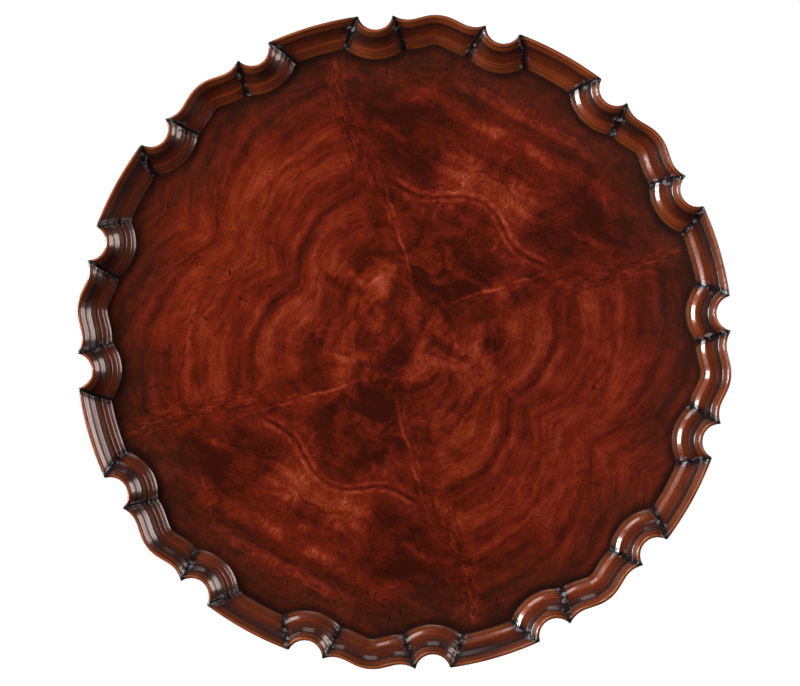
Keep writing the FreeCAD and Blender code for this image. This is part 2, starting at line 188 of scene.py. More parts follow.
class Graph:
    """A node tree that is built by expressions."""

    COLOUR: ClassVar[str] = "RGBA"
    VECTOR: ClassVar[str] = "VECTOR"

    def __init__(self, tree: bpy.types.NodeTree) -> None:
        """Start on an empty tree."""
        self.tree = tree
        tree.nodes.clear()

    def node(
        self,
        kind: str,
        sockets: dict | None = None,
        settings: dict | None = None,
        output: str | int = 0,
    ) -> Wire:
        """Add any node.

        Args:
            kind: The node's type name.
            sockets: Values or wires for its inputs, by name or place.
            settings: Attributes set before the sockets; "stops" fills a colour ramp.
            output: Which output to return.

        Returns:
            A wire from that output.
        """
        node = self.tree.nodes.new(kind)
        for name, value in (settings or {}).items():
            if name == "stops":
                self.set_stops(node.color_ramp, value)
            else:
                setattr(node, name, value)
        for key, value in (sockets or {}).items():
            self.plug(pick(node.inputs, key), value)
        return Wire(self, pick(node.outputs, output) if node.outputs else None)

    def plug(self, socket: bpy.types.NodeSocket, value: object) -> None:
        """Link a wire to an input, or write a plain value on it.

        Args:
            socket: The input.
            value: A wire or a plain value.
        """
        if isinstance(value, Wire):
            self.tree.links.new(value.socket, socket)
        else:
            socket.default_value = value

    @staticmethod
    def set_stops(ramp: bpy.types.ColorRamp, stops: Sequence[tuple[float, str | float]]) -> None:
        """Lay out a colour ramp.

        Args:
            ramp: The ramp.
            stops: Positions in rising order, each with a display colour or a level of grey.
        """
        while len(ramp.elements) > 1:
            ramp.elements.remove(ramp.elements[-1])
        for index, (position, shade) in enumerate(stops):
            element = ramp.elements.new(position) if index else ramp.elements[0]
            element.position = position
            element.color = colour(shade) if isinstance(shade, str) else (shade, shade, shade, 1.0)

    def combine(self, operation: str, first: Value, second: Value) -> Wire:
        """Join two operands by the node that suits what they carry.

        Args:
            operation: ADD, SUBTRACT, MULTIPLY or DIVIDE.
            first: Left operand.
            second: Right operand.

        Returns:
            The result.
        """
        kinds = {each.socket.type for each in (first, second) if isinstance(each, Wire)}
        if self.COLOUR in kinds:
            sockets = {"Factor": 1.0, "A": self.spread(first, 4), "B": self.spread(second, 4)}
            settings = {"data_type": self.COLOUR, "blend_type": operation}
            return self.node("ShaderNodeMix", sockets, settings)
        if self.VECTOR in kinds:
            sockets = {0: self.spread(first, 3), 1: self.spread(second, 3)}
            return self.node("ShaderNodeVectorMath", sockets, {"operation": operation})
        return self.math(operation, first, second)

    @staticmethod
    def spread(value: Value, width: int) -> object:
        """Repeat a plain number for each channel, and leave anything else alone."""
        return (value,) * width if isinstance(value, (int, float)) else value

    def math(self, operation: str, *operands: Value) -> Wire:
        """Add a Math node for an operation, with its inputs in order."""
        return self.node("ShaderNodeMath", dict(enumerate(operands)), {"operation": operation})

    def place(self) -> Wire:
        """Point on the piece in its own coordinates, in metres."""
        return self.node("ShaderNodeTexCoord", output="Object")

    def parts(self, vector: Wire) -> tuple[Wire, Wire, Wire]:
        """Split a vector into its three components."""
        node = self.node("ShaderNodeSeparateXYZ", {0: vector}).socket.node
        return tuple(Wire(self, socket) for socket in node.outputs)

    def join(self, x: Value, y: Value, z: Value = 0.0) -> Wire:
        """Make a vector from three values."""
        return self.node("ShaderNodeCombineXYZ", {0: x, 1: y, 2: z})

    def grey(self, level: Wire) -> Wire:
        """Make a colour with the same value in each channel."""
        return self.node("ShaderNodeCombineColor", dict.fromkeys(range(3), level))

    def reach(self, x: Wire, y: Wire) -> Wire:
        """Length of a flat vector."""
        return (x * x + y * y).power(0.5)

    def wedge(self, x: Wire, y: Wire, pitch: float) -> tuple[Wire, Wire]:
        """Fold the plane into one half of the wedges that it is cut into.

        Args:
            x: Place along the middle of the first wedge.
            y: Place across it.
            pitch: Angle of a wedge.

        Returns:
            Distance along the middle of the point's own wedge, and distance from it.
        """
        angle = self.math("WRAP", self.math("ARCTAN2", y, x), pitch / 2, -pitch / 2)
        reach = self.reach(x, y)
        return reach * self.math("COSINE", angle), reach * abs(self.math("SINE", angle))

    def attribute(self, name: str) -> Wire:
        """Read a number stored on the mesh."""
        return self.node("ShaderNodeAttribute", settings={"attribute_name": name}, output="Fac")

    def noise(
        self,
        vector: Wire,
        scale: float = 1.0,
        detail: float = 3.0,
        roughness: float = 0.5,
        distortion: float = 0.0,
    ) -> Wire:
        """Add smooth noise.

        Args:
            vector: Where it is read.
            scale: Cells to the unit.
            detail: Octaves.
            roughness: Strength of the finer octaves.
            distortion: How far the noise bends itself.

        Returns:
            Noise centred on a half.
        """
        names = ("Vector", "Scale", "Detail", "Roughness", "Distortion")
        values = (vector, scale, detail, roughness, distortion)
        return self.node("ShaderNodeTexNoise", dict(zip(names, values)))

    def sway(self, *settings: Value) -> Wire:
        """Smooth noise centred on nought, with the settings of noise."""
        return self.noise(*settings) - 0.5

    def ramp(
        self, factor: Wire, stops: Sequence[tuple[float, str | float]], ease: str = "LINEAR"
    ) -> Wire:
        """Colour a value.

        Args:
            factor: Value between nought and one.
            stops: Positions with their display colours or levels of grey.
            ease: How the ramp runs between stops.

        Returns:
            The colour.
        """
        wire = self.node("ShaderNodeValToRGB", {0: factor}, {"stops": stops})
        wire.socket.node.color_ramp.interpolation = ease
        return wire

    def tone(self, factor: Wire, stops: Sequence[Point]) -> Wire:
        """Turn a value into another by a smooth curve through stops."""
        return self.node("ShaderNodeSeparateColor", {0: self.ramp(factor, stops, "EASE")})

    def bump(self, height: Wire, distance: float, strength: float) -> Wire:
        """Turn a height into a normal.

        Args:
            height: Height between nought and one.
            distance: Metres that a height of one stands up.
            strength: Share of the effect.

        Returns:
            The normal.
        """
        sockets = {"Height": height, "Distance": distance, "Strength": strength}
        return self.node("ShaderNodeBump", sockets)


# ---------------- finishes


@dataclass(frozen=True)
class Finish:
    """A finish: its name, and the sheen that is the same all over."""

    name: str
    coat_roughness: float = 0.05
    specular: float = 0.5

    def material(self) -> bpy.types.Material:
        """Make the material, or return the one already made.

        Returns:
            The material.
        """
        known = bpy.data.materials.get(self.name)
        if known:
            return known
        material = bpy.data.materials.new(self.name)
        material.use_nodes = True
        graph = Graph(material.node_tree)
        plain = {"Coat Roughness": self.coat_roughness, "Specular IOR Level": self.specular}
        surface = graph.node("ShaderNodeBsdfPrincipled", {**plain, **self.surface(graph)})
        graph.node("ShaderNodeOutputMaterial", {"Surface": surface})
        return material

    def surface(self, graph: Graph) -> dict[str, object]:
        """Give what goes into the surface shader's sockets; each finish has its own."""
        raise NotImplementedError


@dataclass(frozen=True)
class CrotchVeneer(Finish):
    """Polished crotch mahogany in radial leaves, book-matched across every seam.

    The figure is drawn on the tray with its rim at one: u runs along a plain seam and v across it.
    """

    radius: float = 0.3555
    repeats: int = 8
    first_plain_seam: float = math.radians(157.5)
    sweeping_pairs_only: bool = False
    moulding: float = 0.031
    seam: float = 0.0022
    feather_seam: float = 0.003
    shade_reach: float = 0.085
    haze_reach: float = 0.07
    # Reach of the painted shade and dirt line at the moulding's foot.
    foot_shade_and_dirt_line: Point = (0.012, 0.001)
    nick: tuple[float, float, float] = (0.012, 0.0035, 0.012)

    RAMP: ClassVar[tuple] = (
        (0.0, "1d0805"), (0.2, "401106"), (0.36, "54170a"), (0.5, "651d0d"),
        (0.64, "752914"), (0.78, "853521"), (0.9, "96422e"), (1.0, "ac543f"),
    )
    HAZE: ClassVar[str] = "4c3a2b"
    BROWN: ClassVar[str] = "f0ffa8"
    # Painted shade and dirt in the line where the veneer meets the moulding's foot.
    FOOT_SHADE_AND_DIRT: ClassVar[str] = "150a07"
    NICK: ClassVar[str] = "180806"
    # Broad bands: distance out from the middle, and lightness.
    BANDS: ClassVar[tuple] = (
        (0.0, 0.50), (0.10, 0.44), (0.17, 0.52), (0.24, 0.42), (0.31, 0.50), (0.35, 0.55),
        (0.375, 0.26), (0.395, 0.50), (0.415, 0.34), (0.45, 0.56), (0.50, 0.52), (0.54, 0.58),
        (0.58, 0.50), (0.615, 0.60), (0.645, 0.35), (0.68, 0.50), (0.72, 0.43), (0.77, 0.52),
        (0.82, 0.45), (1.0, 0.46),
    )
    # Streaks: cells across and along the bands, seed, roughness, distortion and strength.
    STREAKS: ClassVar[tuple] = (
        (24.0, 4.0, 3.1, 0.6, 0.6, 0.85),
        (75.0, 12.0, 5.2, 0.65, 0.6, 0.5),
        (260.0, 45.0, 7.7, 0.65, 0.0, 0.24),
    )
    # The double light line and the dark one in it: offset, width and lightness to add.
    LINES: ClassVar[tuple] = ((0.0, 0.010, 0.3), (0.026, 0.013, 0.34), (0.013, 0.008, -0.16))
    # Plumes and clouds: middle and half width along u, the same along v, and lightness to add.
    PATCHES: ClassVar[tuple] = (
        (0.535, 0.075, 0.03, 0.20, 0.26),
        (0.70, 0.035, 0.18, 0.20, 0.21),
        (0.775, 0.022, 0.12, 0.16, 0.24),
        (0.54, 0.012, 0.33, 0.05, 0.25),
        (0.61, 0.070, 0.38, 0.10, -0.16),
        (0.50, 0.070, 0.24, 0.12, -0.10),
        (0.60, 0.050, 0.06, 0.10, -0.08),
        (0.30, 0.120, 0.05, 0.14, -0.12),
    )
    # Nicks: the angle that one set of them lies at, and its seed.
    NICKS: ClassVar[tuple] = ((0.5, 1.0), (1.7, 2.0), (2.6, 3.0))

    def foot_gap(self, graph: Graph, x: Wire, y: Wire) -> Wire:
        """Measure how far a point is from the foot of the moulding.

        Args:
            graph: The material's graph.
            x: Place along X.
            y: Place along Y.

        Returns:
            Distance in metres.
        """
        outline = Piecrust(self.radius / MM, self.repeats)
        along, across = graph.wedge(x, y, outline.pitch)
        gap = (self.radius - self.moulding) - graph.reach(x, y)
        hollows = (
            (outline.scallop_centre, outline.scallop),
            (outline.flank_centre, outline.flank),
        )
        for centre, hollow in hollows:
            away = graph.reach(along - centre[0] * MM, across - centre[1] * MM)
            gap = gap.least(away - (hollow * MM + self.moulding))
        return gap

    def folded(self, graph: Graph, x: Wire, y: Wire) -> tuple[Wire, Wire]:
        """Fold the tray so that a mirrored pair of leaves shares one figure.

        Args:
            graph: The material's graph.
            x: Place along X.
            y: Place along Y.

        Returns:
            The figure's u and v.
        """
        turn = self.first_plain_seam
        along = (x * math.cos(turn) + y * math.sin(turn)) / self.radius
        across = (y * math.cos(turn) - x * math.sin(turn)) / self.radius
        if self.sweeping_pairs_only:
            pair = 4 * math.pi / self.repeats
            return graph.wedge(along, across, pair)
        return abs(along), abs(across)

    def sweeping(self, graph: Graph, u: Wire, v: Wire) -> Wire:
        """Figure of the pairs whose bands sweep from the plain seam and square up to the feather.

        Args:
            graph: The material's graph.
            u: Distance along the plain seam.
            v: Distance across it.

        Returns:
            Lightness about a half.
        """
        turn = graph.math("ARCTAN2", v, u)
        squared = 1.0 + graph.math("SINE", turn * 2.0) * 0.27
        level = graph.reach(u, v) / squared + graph.sway(graph.join(u, v, 8.0), 9.0) * 0.03
        value = graph.tone(level, self.BANDS)
        for across, along, seed, roughness, distortion, strength in self.STREAKS:
            drawn_out = graph.join(level * across, v * along, seed)
            streaks = graph.sway(drawn_out, 1.0, 3.0, roughness, distortion)
            value = value + streaks * strength
        return value - v.step(0.2, 0.6) * 0.12

    def mottled(self, graph: Graph, u: Wire, v: Wire) -> Wire:
        """Figure of the darker pairs: a double light line, a plume and bands near the rim.

        Args:
            graph: The material's graph.
            u: Distance along the plain seam.
            v: Distance across it.

        Returns:
            Lightness about a half.
        """
        wander = graph.sway(graph.join(u, v, 2.2), 8.0)
        cloud = graph.noise(graph.join(u * 4.0, v * 4.0, 5.0), 1.0, 4.0, 0.6, 1.0)
        curl_place = graph.join(u * 44.0 + wander * 6.0, v * 9.0, 1.0)
        curl = graph.noise(curl_place, 1.0, 3.0, 0.6, 0.5)
        cross_place = graph.join(u * 16.0, v * 60.0 + wander * 6.0, 8.0)
        cross = graph.noise(cross_place, 1.0, 3.0, 0.6, 0.8)
        fibre = graph.sway(graph.join(u * 200.0, v * 60.0, 4.0), 1.0, 3.0, 0.65)
        value = 0.36 + (cloud - 0.5) * 0.75 + (curl - 0.5) * 0.5 + fibre * 0.36
        value = value + cross.step(0.52, 0.7) * cloud.step(0.45, 0.6) * 0.22
        line = u - 0.40 - v.step(0.2, 0.0) * 0.08 - wander * 0.03
        rough = graph.noise(graph.join(u * 30.0, v * 30.0, 9.0), 1.0, 3.0, 0.65)
        shown = v.step(0.285, 0.24) * rough.step(0.3, 0.62)
        for offset, width, light in self.LINES:
            value = value + abs(line - offset).step(width, 0.0) * light * shown
        value = value - abs(line + 0.03).step(0.05, 0.0) * 0.12 * shown
        grain = curl.step(0.3, 0.65) * 0.6 + cross.step(0.4, 0.6) * 0.4
        for middle, half, centre, spread, light in self.PATCHES:
            patch = abs(u - middle - wander * 0.07).step(half, half * 0.3)
            patch = patch * abs(v - centre - wander * 0.12).step(spread, spread * 0.5)
            value = value + patch * light * (0.3 + grain * 0.8 if light > 0 else 1.0)
        return value

    def feather(self, graph: Graph, u: Wire, v: Wire) -> Wire:
        """Light line and curled plumes beside the seams between pairs.

        Args:
            graph: The material's graph.
            u: Distance along the darker pair's plain seam.
            v: Distance across it.

        Returns:
            Lightness to add.
        """
        wander = graph.sway(graph.join(u, v, 11.0), 12.0)
        line = v - u * 0.95 + 0.095 - wander * 0.04
        broken = graph.noise(graph.join(u * 14.0, 3.0, 1.0), 1.0, 2.0).step(0.35, 0.55)
        inner = u.step(0.15, 0.2) * u.step(0.46, 0.40)
        value = abs(line).step(0.011, 0.0) * inner * broken * 0.34
        value = value + abs(line - 0.018).step(0.012, 0.0) * inner * (1.0 - broken) * 0.24
        curl_place = graph.join((u + v) * 16.0, (u - v) * 60.0, 6.0)
        curls = graph.noise(curl_place, 1.0, 3.0, 0.65, 1.2)
        outer = abs(v - u + 0.03).step(0.08, 0.01) * u.step(0.3, 0.4)
        return value + outer * (curls.step(0.42, 0.66) * 0.34 - 0.08)

    def figure(self, graph: Graph, place: Wire, own: Wire) -> Wire:
        """Lay out the figure of all the leaves, with their seams and the burl in the middle.

        Args:
            graph: The material's graph.
            place: Point on the piece.
            own: Slow noise that no leaf shares with another.

        Returns:
            Lightness about a half.
        """
        x, y, _ = graph.parts(place)
        u, v = self.folded(graph, x, y)
        seams = v.step(self.seam, 0.0)
        bend = graph.sway(graph.join(u, v, 0.0), 4.0, 2.0)
        u = u + bend * 0.03 + own * 0.016
        v = v + own * 0.016
        value = self.sweeping(graph, u, v)
        if not self.sweeping_pairs_only:
            share = (u - v).step(-0.03, 0.03)
            value = share * value + (1.0 - share) * self.mottled(graph, v, u)
            value = value + self.feather(graph, v, u)
            between_pairs = abs(u - v).step(self.feather_seam, 0.0) * 0.7
            seams = seams.most(u.step(self.seam, 0.0)).most(between_pairs)
        core = graph.noise(place, 24.0, 4.0, 0.6, 0.9)
        centre = (core.step(0.42, 0.62) - 0.5) * 0.26 + (core - 0.5) * 0.5
        value = value + centre * (graph.reach(x, y) / self.radius).step(0.5, 0.22)
        value = value + graph.sway(place, 70.0, 4.0, 0.62, 0.5) * 0.46
        value = value + graph.sway(place, 520.0, 3.0, 0.75) * 0.52 + own * 0.3
        return value - seams * own.step(-0.1, 0.15) * 0.12

    def surface(self, graph: Graph) -> dict[str, object]:
        """Work out colour, gloss and relief of the veneer.

        Args:
            graph: The material's graph.

        Returns:
            Inputs of the surface shader.
        """
        place = graph.place()
        x, y, _ = graph.parts(place)
        own = graph.sway(place, 11.0)
        gap = self.foot_gap(graph, x, y)
        # Painted shade: the veneer darkens towards the foot of the moulding.
        value = self.figure(graph, place, own) - gap.step(self.shade_reach, 0.0) * 0.18
        base = graph.ramp(value.least(1.0).most(0.1), self.RAMP)
        brown = graph.noise(place, 16.0, 3.0, 0.6).step(0.45, 0.7) * 0.38
        base = brown.blend(base, base * colour(self.BROWN))
        base = (gap.step(self.haze_reach, 0.0) * 0.12).blend(base, colour(self.HAZE))
        # Painted shade and dirt: a dark line where the veneer meets the foot of the moulding.
        edge = gap.step(*self.foot_shade_and_dirt_line) * (0.7 + own * 1.2)
        base = edge.least(0.95).most(0.0).blend(base, colour(self.FOOT_SHADE_AND_DIRT))
        nicks = self.nicks(graph, place)
        base = (nicks * 0.8).blend(base, colour(self.NICK))
        height = graph.noise(place, 90.0) * 0.5 + graph.noise(place, 420.0, 2.0) * 0.15
        return {
            "Base Color": base,
            "Roughness": 0.17 + graph.noise(place, 30.0) * 0.08,
            "Coat Weight": 0.3 - nicks * 0.2,
            "Normal": graph.bump(height - nicks * 0.4, 0.0001, 0.4),
        }

    def nicks(self, graph: Graph, place: Wire) -> Wire:
        """Scatter short dark pores and dents.

        Args:
            graph: The material's graph.
            place: Point on the piece.

        Returns:
            A mask.
        """
        marks = None
        for turn, seed in self.NICKS:
            sockets = {"Vector": place, "Rotation": (0, 0, turn), "Scale": self.nick}
            sockets["Location"] = (seed * 3.3, seed * 7.1, seed)
            spun = graph.node("ShaderNodeMapping", sockets, {"vector_type": "TEXTURE"})
            mark = graph.noise(spun, 1.0, 2.0).step(0.685, 0.73)
            marks = mark if marks is None else marks.most(mark)
        return marks * graph.noise(place, 12.0, 2.0).step(0.46, 0.56) * 0.9


@dataclass(frozen=True)
class CarvedRim(Finish):
    """Carved and rubbed moulding: worn light on the lip; painted shade and grime make it near black
    in quirks and mitres, and painted glints sit by the mitres.
    """

    coat_roughness: float = 0.12
    specular: float = 0.22
    width: float = 31.0

    # From the lip to the foot, as a share of the moulding's width; its dark stops in the quirks and
    # at the foot are painted shade along with grime.
    RAMP: ClassVar[tuple] = (
        (0.0, "5b250c"), (0.05, "763212"), (0.11, "873c14"), (0.135, "361507"), (0.17, "6b300f"),
        (0.25, "5f270d"), (0.295, "280f06"), (0.36, "3b1507"), (0.46, "4d1c08"), (0.60, "592109"),
        (0.68, "6c2d0d"), (0.74, "652409"), (0.84, "6b2d0d"), (0.865, "481e09"), (0.90, "703311"),
        (0.96, "5b2b0f"), (1.0, "180a04"),
    )
    STAIN: ClassVar[str] = "1a0a06"
    WORN: ClassVar[str] = "9a5526"
    # Painted shade and grime in the mitres and quirks.
    SHADE_AND_GRIME: ClassVar[str] = "0c0606"
    SPECK: ClassVar[str] = "120806"
    # Painted highlight: light grey specks that stand in for glints off the carved facets.
    GLINT: ClassVar[str] = "80858a"

    def surface(self, graph: Graph) -> dict[str, object]:
        """Work out colour, gloss and relief of the moulding.

        Args:
            graph: The material's graph.

        Returns:
            Inputs of the surface shader.
        """
        place = graph.place()
        x, y, _ = graph.parts(place)
        inset, mitre, relief = (graph.attribute(name) for name in ("inset", "mitre", "relief"))
        streaks = graph.noise(graph.join(x * 14.0, y * 14.0, inset * 0.9), 1.0, 4.0, 0.6)
        streak = streaks - 0.5
        cloud = graph.noise(place, 24.0, 4.0, 0.6)
        fine = graph.noise(place, 300.0, 3.0, 0.6)
        base = graph.ramp((inset + streak * 1.2) / self.width, self.RAMP)
        light = 0.10 + graph.noise(place, 7.0, 2.0) * 0.75 + cloud * 0.6
        base = base * graph.grey(light + (fine - 0.5) * 0.45 + streak)
        stain = abs(inset - 12.0).step(9.0, 2.0) * graph.noise(place, 13.0).step(0.45, 0.62)
        base = (stain * 0.75).blend(base, colour(self.STAIN))
        worn = relief.step(-0.05, -0.6) * graph.noise(place, 45.0).step(0.35, 0.6)
        base = (worn * 0.4).blend(base, colour(self.WORN))
        # Painted shade and grime darken the mitres and the quirks.
        base = self.shade_and_grime(graph, place, mitre, relief).blend(base, colour(self.SHADE_AND_GRIME))
        specks = graph.noise(place, 520.0, 2.0).step(0.64, 0.70) * cloud.step(0.4, 0.6)
        base = (specks * 0.6).blend(base, colour(self.SPECK))
        # Painted highlights: light grey specks by the mitres stand in for glints off the carved
        # facets.
        painted_glints = graph.noise(place, 150.0, 2.0).step(0.56, 0.70) * mitre.step(9.0, 3.0)
        base = (painted_glints * 0.45).blend(base, colour(self.GLINT))
        facets = graph.noise(place, 95.0, 2.0) * mitre.step(6.0, 1.5) * 5.0
        carved = graph.noise(place, 55.0, 2.0) * 2.2 + graph.noise(place, 150.0) * 0.8
        height = carved + fine * 0.2 + streaks * 0.4 + facets
        rubbed = mitre.step(4.0, 10.0).most(graph.noise(place, 240.0, 2.0).step(0.5, 0.6))
        coat = 0.3 + streaks.step(0.36, 0.6) * 0.45 + cloud * 0.2
        return {
            "Base Color": base,
            "Roughness": 0.24 + cloud * 0.16,
            "Coat Weight": coat * (0.15 + rubbed * 0.85),
            "Normal": graph.bump(height, 0.0003, 0.6),
        }

    def shade_and_grime(self, graph: Graph, place: Wire, mitre: Wire, relief: Wire) -> Wire:
        """Darken the mitres and the quirks with painted shade and grime.

        Args:
            graph: The material's graph.
            place: Point on the piece.
            mitre: Distance from the nearest mitre in millimetres.
            relief: Nought on the flat and one in a deep hollow.

        Returns:
            A mask.
        """
        ragged = mitre + graph.sway(place, 110.0) * 9.0
        darkened = mitre.step(6.0, 1.0).most(ragged.step(7.5, 2.5) * 0.8)
        darkened = darkened.most(mitre.step(15.0, 4.0) * 0.4)
        return darkened.most(relief.step(0.1, 0.7) * 0.8).least(1.0)


@dataclass(frozen=True)
class PolishedWood(Finish):
    """Straight-grained mahogany with darker pores, rubbed light on its crests, and darkened in its
    hollows by painted shade and grime.
    """

    grain: tuple[float, float, float] = (90.0, 90.0, 5.0)
    light: str = "6d3019"
    middle: str = "4a1d0f"
    deep: str = "230d07"
    pore: str = "160806"
    worn: str = "945026"
    # Painted shade and grime in the hollows.
    shade_and_grime: str = "0e0706"
    coat: float = 0.6

    def surface(self, graph: Graph) -> dict[str, object]:
        """Work out colour, gloss and relief of the wood.

        Args:
            graph: The material's graph.

        Returns:
            Inputs of the surface shader.
        """
        place = graph.place()
        relief = graph.attribute("relief")
        along = graph.node("ShaderNodeMapping", {"Vector": place, "Scale": self.grain})
        bands = graph.noise(along, 0.45, 4.0, 0.6, 0.8)
        fibre = graph.noise(along, 3.0, 3.0, 0.65)
        pores = graph.noise(along, 9.0, 2.0).step(0.66, 0.74)
        cloud = graph.noise(place, 14.0)
        value = 0.5 + (bands - 0.5) * 1.5 + (fibre - 0.5) * 0.6 + (cloud - 0.5) * 0.7
        base = graph.ramp(value, ((0.05, self.deep), (0.45, self.middle), (0.95, self.light)))
        base = (pores * 0.6).blend(base, colour(self.pore))
        worn = relief.step(-0.1, -0.8) * graph.noise(place, 60.0).step(0.35, 0.65)
        base = (worn * 0.4).blend(base, colour(self.worn))
        # Painted shade and grime darken the hollows.
        shade_and_grime = relief.step(0.1, 0.8) * (0.6 + cloud * 0.4)
        base = (shade_and_grime * 0.85).blend(base, colour(self.shade_and_grime))
        height = fibre * 0.5 + bands * 0.2 - pores * 0.5
        return {
            "Base Color": base,
            "Roughness": 0.28 + cloud * 0.14 + pores * 0.1,
            "Coat Weight": self.coat,
            "Normal": graph.bump(height, 0.00015, 0.45),
        }


@dataclass(frozen=True)
class Metal(Finish):
    """Bare or blackened metal with rubbed edges and a little rust."""

    tint: str = "8f8f92"
    rust: str = "4c2a18"
    roughness: float = 0.35
    metallic: float = 0.9
    brushed: tuple[float, float, float] = (900.0, 60.0, 60.0)

    def surface(self, graph: Graph) -> dict[str, object]:
        """Work out colour, gloss and relief of the metal.

        Args:
            graph: The material's graph.

        Returns:
            Inputs of the surface shader.
        """
        place = graph.place()
        spots = graph.noise(place, 160.0, 4.0, 0.65)
        drawn_out = graph.node("ShaderNodeMapping", {"Vector": place, "Scale": self.brushed})
        scratches = graph.noise(drawn_out)
        rusty = spots.step(0.56, 0.70)
        base = (rusty * 0.7).blend(colour(self.tint), colour(self.rust))
        shade = (0.8 + scratches * 0.4).blend(colour("000000"), colour("ffffff"))
        return {
            "Base Color": base * shade,
            "Metallic": self.metallic - rusty * self.metallic * 0.7,
            "Roughness": self.roughness + spots * 0.15 + rusty * 0.2,
            "Normal": graph.bump(spots + scratches * 0.5, 0.0002, 0.5),
        }


# ---------------- mesh tools


def grid_quads(rows: int, columns: int, wrap_rows: bool, wrap_columns: bool) -> np.ndarray:
    """Join a grid of points by quads.

    Args:
        rows: Number of rows.
        columns: Number of points in a row.
        wrap_rows: Whether the last row joins the first.
        wrap_columns: Whether the last column joins the first.

    Returns:
        Four point numbers to a quad.
    """
    index = np.arange(rows * columns).reshape(rows, columns)
    if wrap_rows:
        index = np.vstack([index, index[:1]])
    if wrap_columns:
        index = np.hstack([index, index[:, :1]])
    corners = (index[:-1, :-1], index[:-1, 1:], index[1:, 1:], index[1:, :-1])
    return np.stack([corner.ravel() for corner in corners], axis=1)


def make_mesh(name: str, points: Sequence, faces: Sequence) -> bpy.types.Mesh:
    """Make a mesh.

    Args:
        name: The mesh's name.
        points: Places of its points in metres.
        faces: Point numbers of each face.

    Returns:
        The mesh.
    """
    mesh = bpy.data.meshes.new(name)
    mesh.from_pydata(points, [], faces)
    mesh.update()
    return mesh


def grid_mesh(
    name: str, rows: np.ndarray, wrap_rows: bool = False, wrap_columns: bool = False
) -> bpy.types.Mesh:
    """Make a mesh from rows of points in metres, with the quads that grid_quads gives."""
    quads = grid_quads(*rows.shape[:2], wrap_rows, wrap_columns)
    return make_mesh(name, rows.reshape(-1, 3).tolist(), quads.tolist())


def tube_faces(rings: int, sides: int, base: int) -> list[list[int]]:
    """Join rings of points into a tube with closed ends.

    Args:
        rings: Number of rings.
        sides: Number of points in a ring.
        base: Number of the first point.

    Returns:
        Point numbers of each face.
    """
    quads = grid_quads(rings, sides, False, True) + base
    first = range(base, base + sides)
    last = range(base + (rings - 1) * sides, base + rings * sides)
    return [*quads.tolist(), list(first)[::-1], list(last)]


def store(mesh: bpy.types.Mesh, name: str, values: np.ndarray) -> None:
    """Store one number for each point of a mesh, as a named attribute."""
    attribute = mesh.attributes.new(name, "FLOAT", "POINT")
    attribute.data.foreach_set("value", np.ascontiguousarray(values, np.float32).ravel())


def link(name: str, data: bpy.types.ID) -> bpy.types.Object:
    """Put a mesh, a lamp or a camera in the scene at the origin.

    Args:
        name: The object's name.
        data: What it holds.

    Returns:
        The object.
    """
    piece = bpy.data.objects.new(name, data)
    bpy.context.scene.collection.objects.link(piece)
    return piece


def shade(mesh: bpy.types.Mesh, sharp_above: float) -> None:
    """Shade a mesh smooth, apart from the edges that turn by more than so many degrees."""
    mesh.shade_smooth()
    mesh.set_sharp_from_angle(angle=math.radians(sharp_above))


def settle(piece: bpy.types.Object) -> None:
    """Turn an object's evaluated shape into its plain mesh and drop the modifiers.

    Args:
        piece: The object.
    """
    graph = bpy.context.evaluated_depsgraph_get()
    mesh = bpy.data.meshes.new_from_object(piece.evaluated_get(graph))
    mesh.name = piece.name
    piece.modifiers.clear()
    piece.data = mesh


def fit_out(piece: bpy.types.Object, slot: Slot, *nodes: str) -> None:
    """Attach a finished piece to the root body and hide the CAD nodes that it stands for.

    Args:
        piece: The piece.
        slot: Not used.
        nodes: CAD nodes that it stands for.
    """
    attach(piece, "root")
    if nodes:
        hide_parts(*nodes)
    LOG.info("%s: %d faces", piece.name, len(piece.data.polygons))


def dress(node: str, finish: Finish) -> None:
    """Give a CAD node its finish.

    Args:
        node: The node's name.
        finish: The finish.
    """
    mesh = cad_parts[node].data
    if not mesh.materials:
        mesh.materials.append(None)
    for index in range(len(mesh.materials)):
        mesh.materials[index] = finish.material()
    LOG.info("%s keeps its solid", node)


def smooth_line(knots: Sequence[Point], steps: int) -> np.ndarray:
    """Run an even curve through points.

    Args:
        knots: The points.
        steps: Pieces between two points.

    Returns:
        Points on the curve, ends included.
    """
    line = np.array(knots, float)
    padded = np.vstack([2 * line[0] - line[1], line, 2 * line[-1] - line[-2]])
    before, start, end, after = padded[:-3], padded[1:-2], padded[2:-1], padded[3:]
    slope_in = (end - before) / 2
    slope_out = (after - start) / 2
    curve = []
    for share in np.arange(steps) / steps:
        cube, square = share**3, share**2
        curve.append(
            (2 * cube - 3 * square + 1) * start
            + (cube - 2 * square + share) * slope_in
            + (3 * square - 2 * cube) * end
            + (cube - square) * slope_out
        )
    return np.vstack([np.stack(curve, axis=1).reshape(-1, line.shape[1]), line[-1:]])


def relief_of(line: np.ndarray, height: np.ndarray, reach: float) -> np.ndarray:
    """Find where a section is hollow or stands proud.

    Args:
        line: Points of the section in millimetres.
        height: Height of each point out of the surface.
        reach: How far to each side the section is averaged.

    Returns:
        About one in a deep hollow and minus one on a sharp crest.
    """
    full_relief = 0.35 * reach
    steps = np.linalg.norm(np.diff(line, axis=0), axis=1)
    run = np.concatenate([[0], np.cumsum(steps)])
    near = np.exp(-(((run[:, None] - run[None, :]) / reach) ** 2))
    weight = near * np.gradient(run)[None, :]
    mean = (weight * height[None, :]).sum(axis=1) / weight.sum(axis=1)
    return np.clip((mean - height) / full_relief, -1, 1)


def direction(angle: float) -> np.ndarray:
    """Unit vector at an angle."""
    return np.array([math.cos(angle), math.sin(angle)])


def to_left(vector: np.ndarray) -> np.ndarray:
    """The same vector after a quarter turn to the left."""
    return np.array([-vector[1], vector[0]])


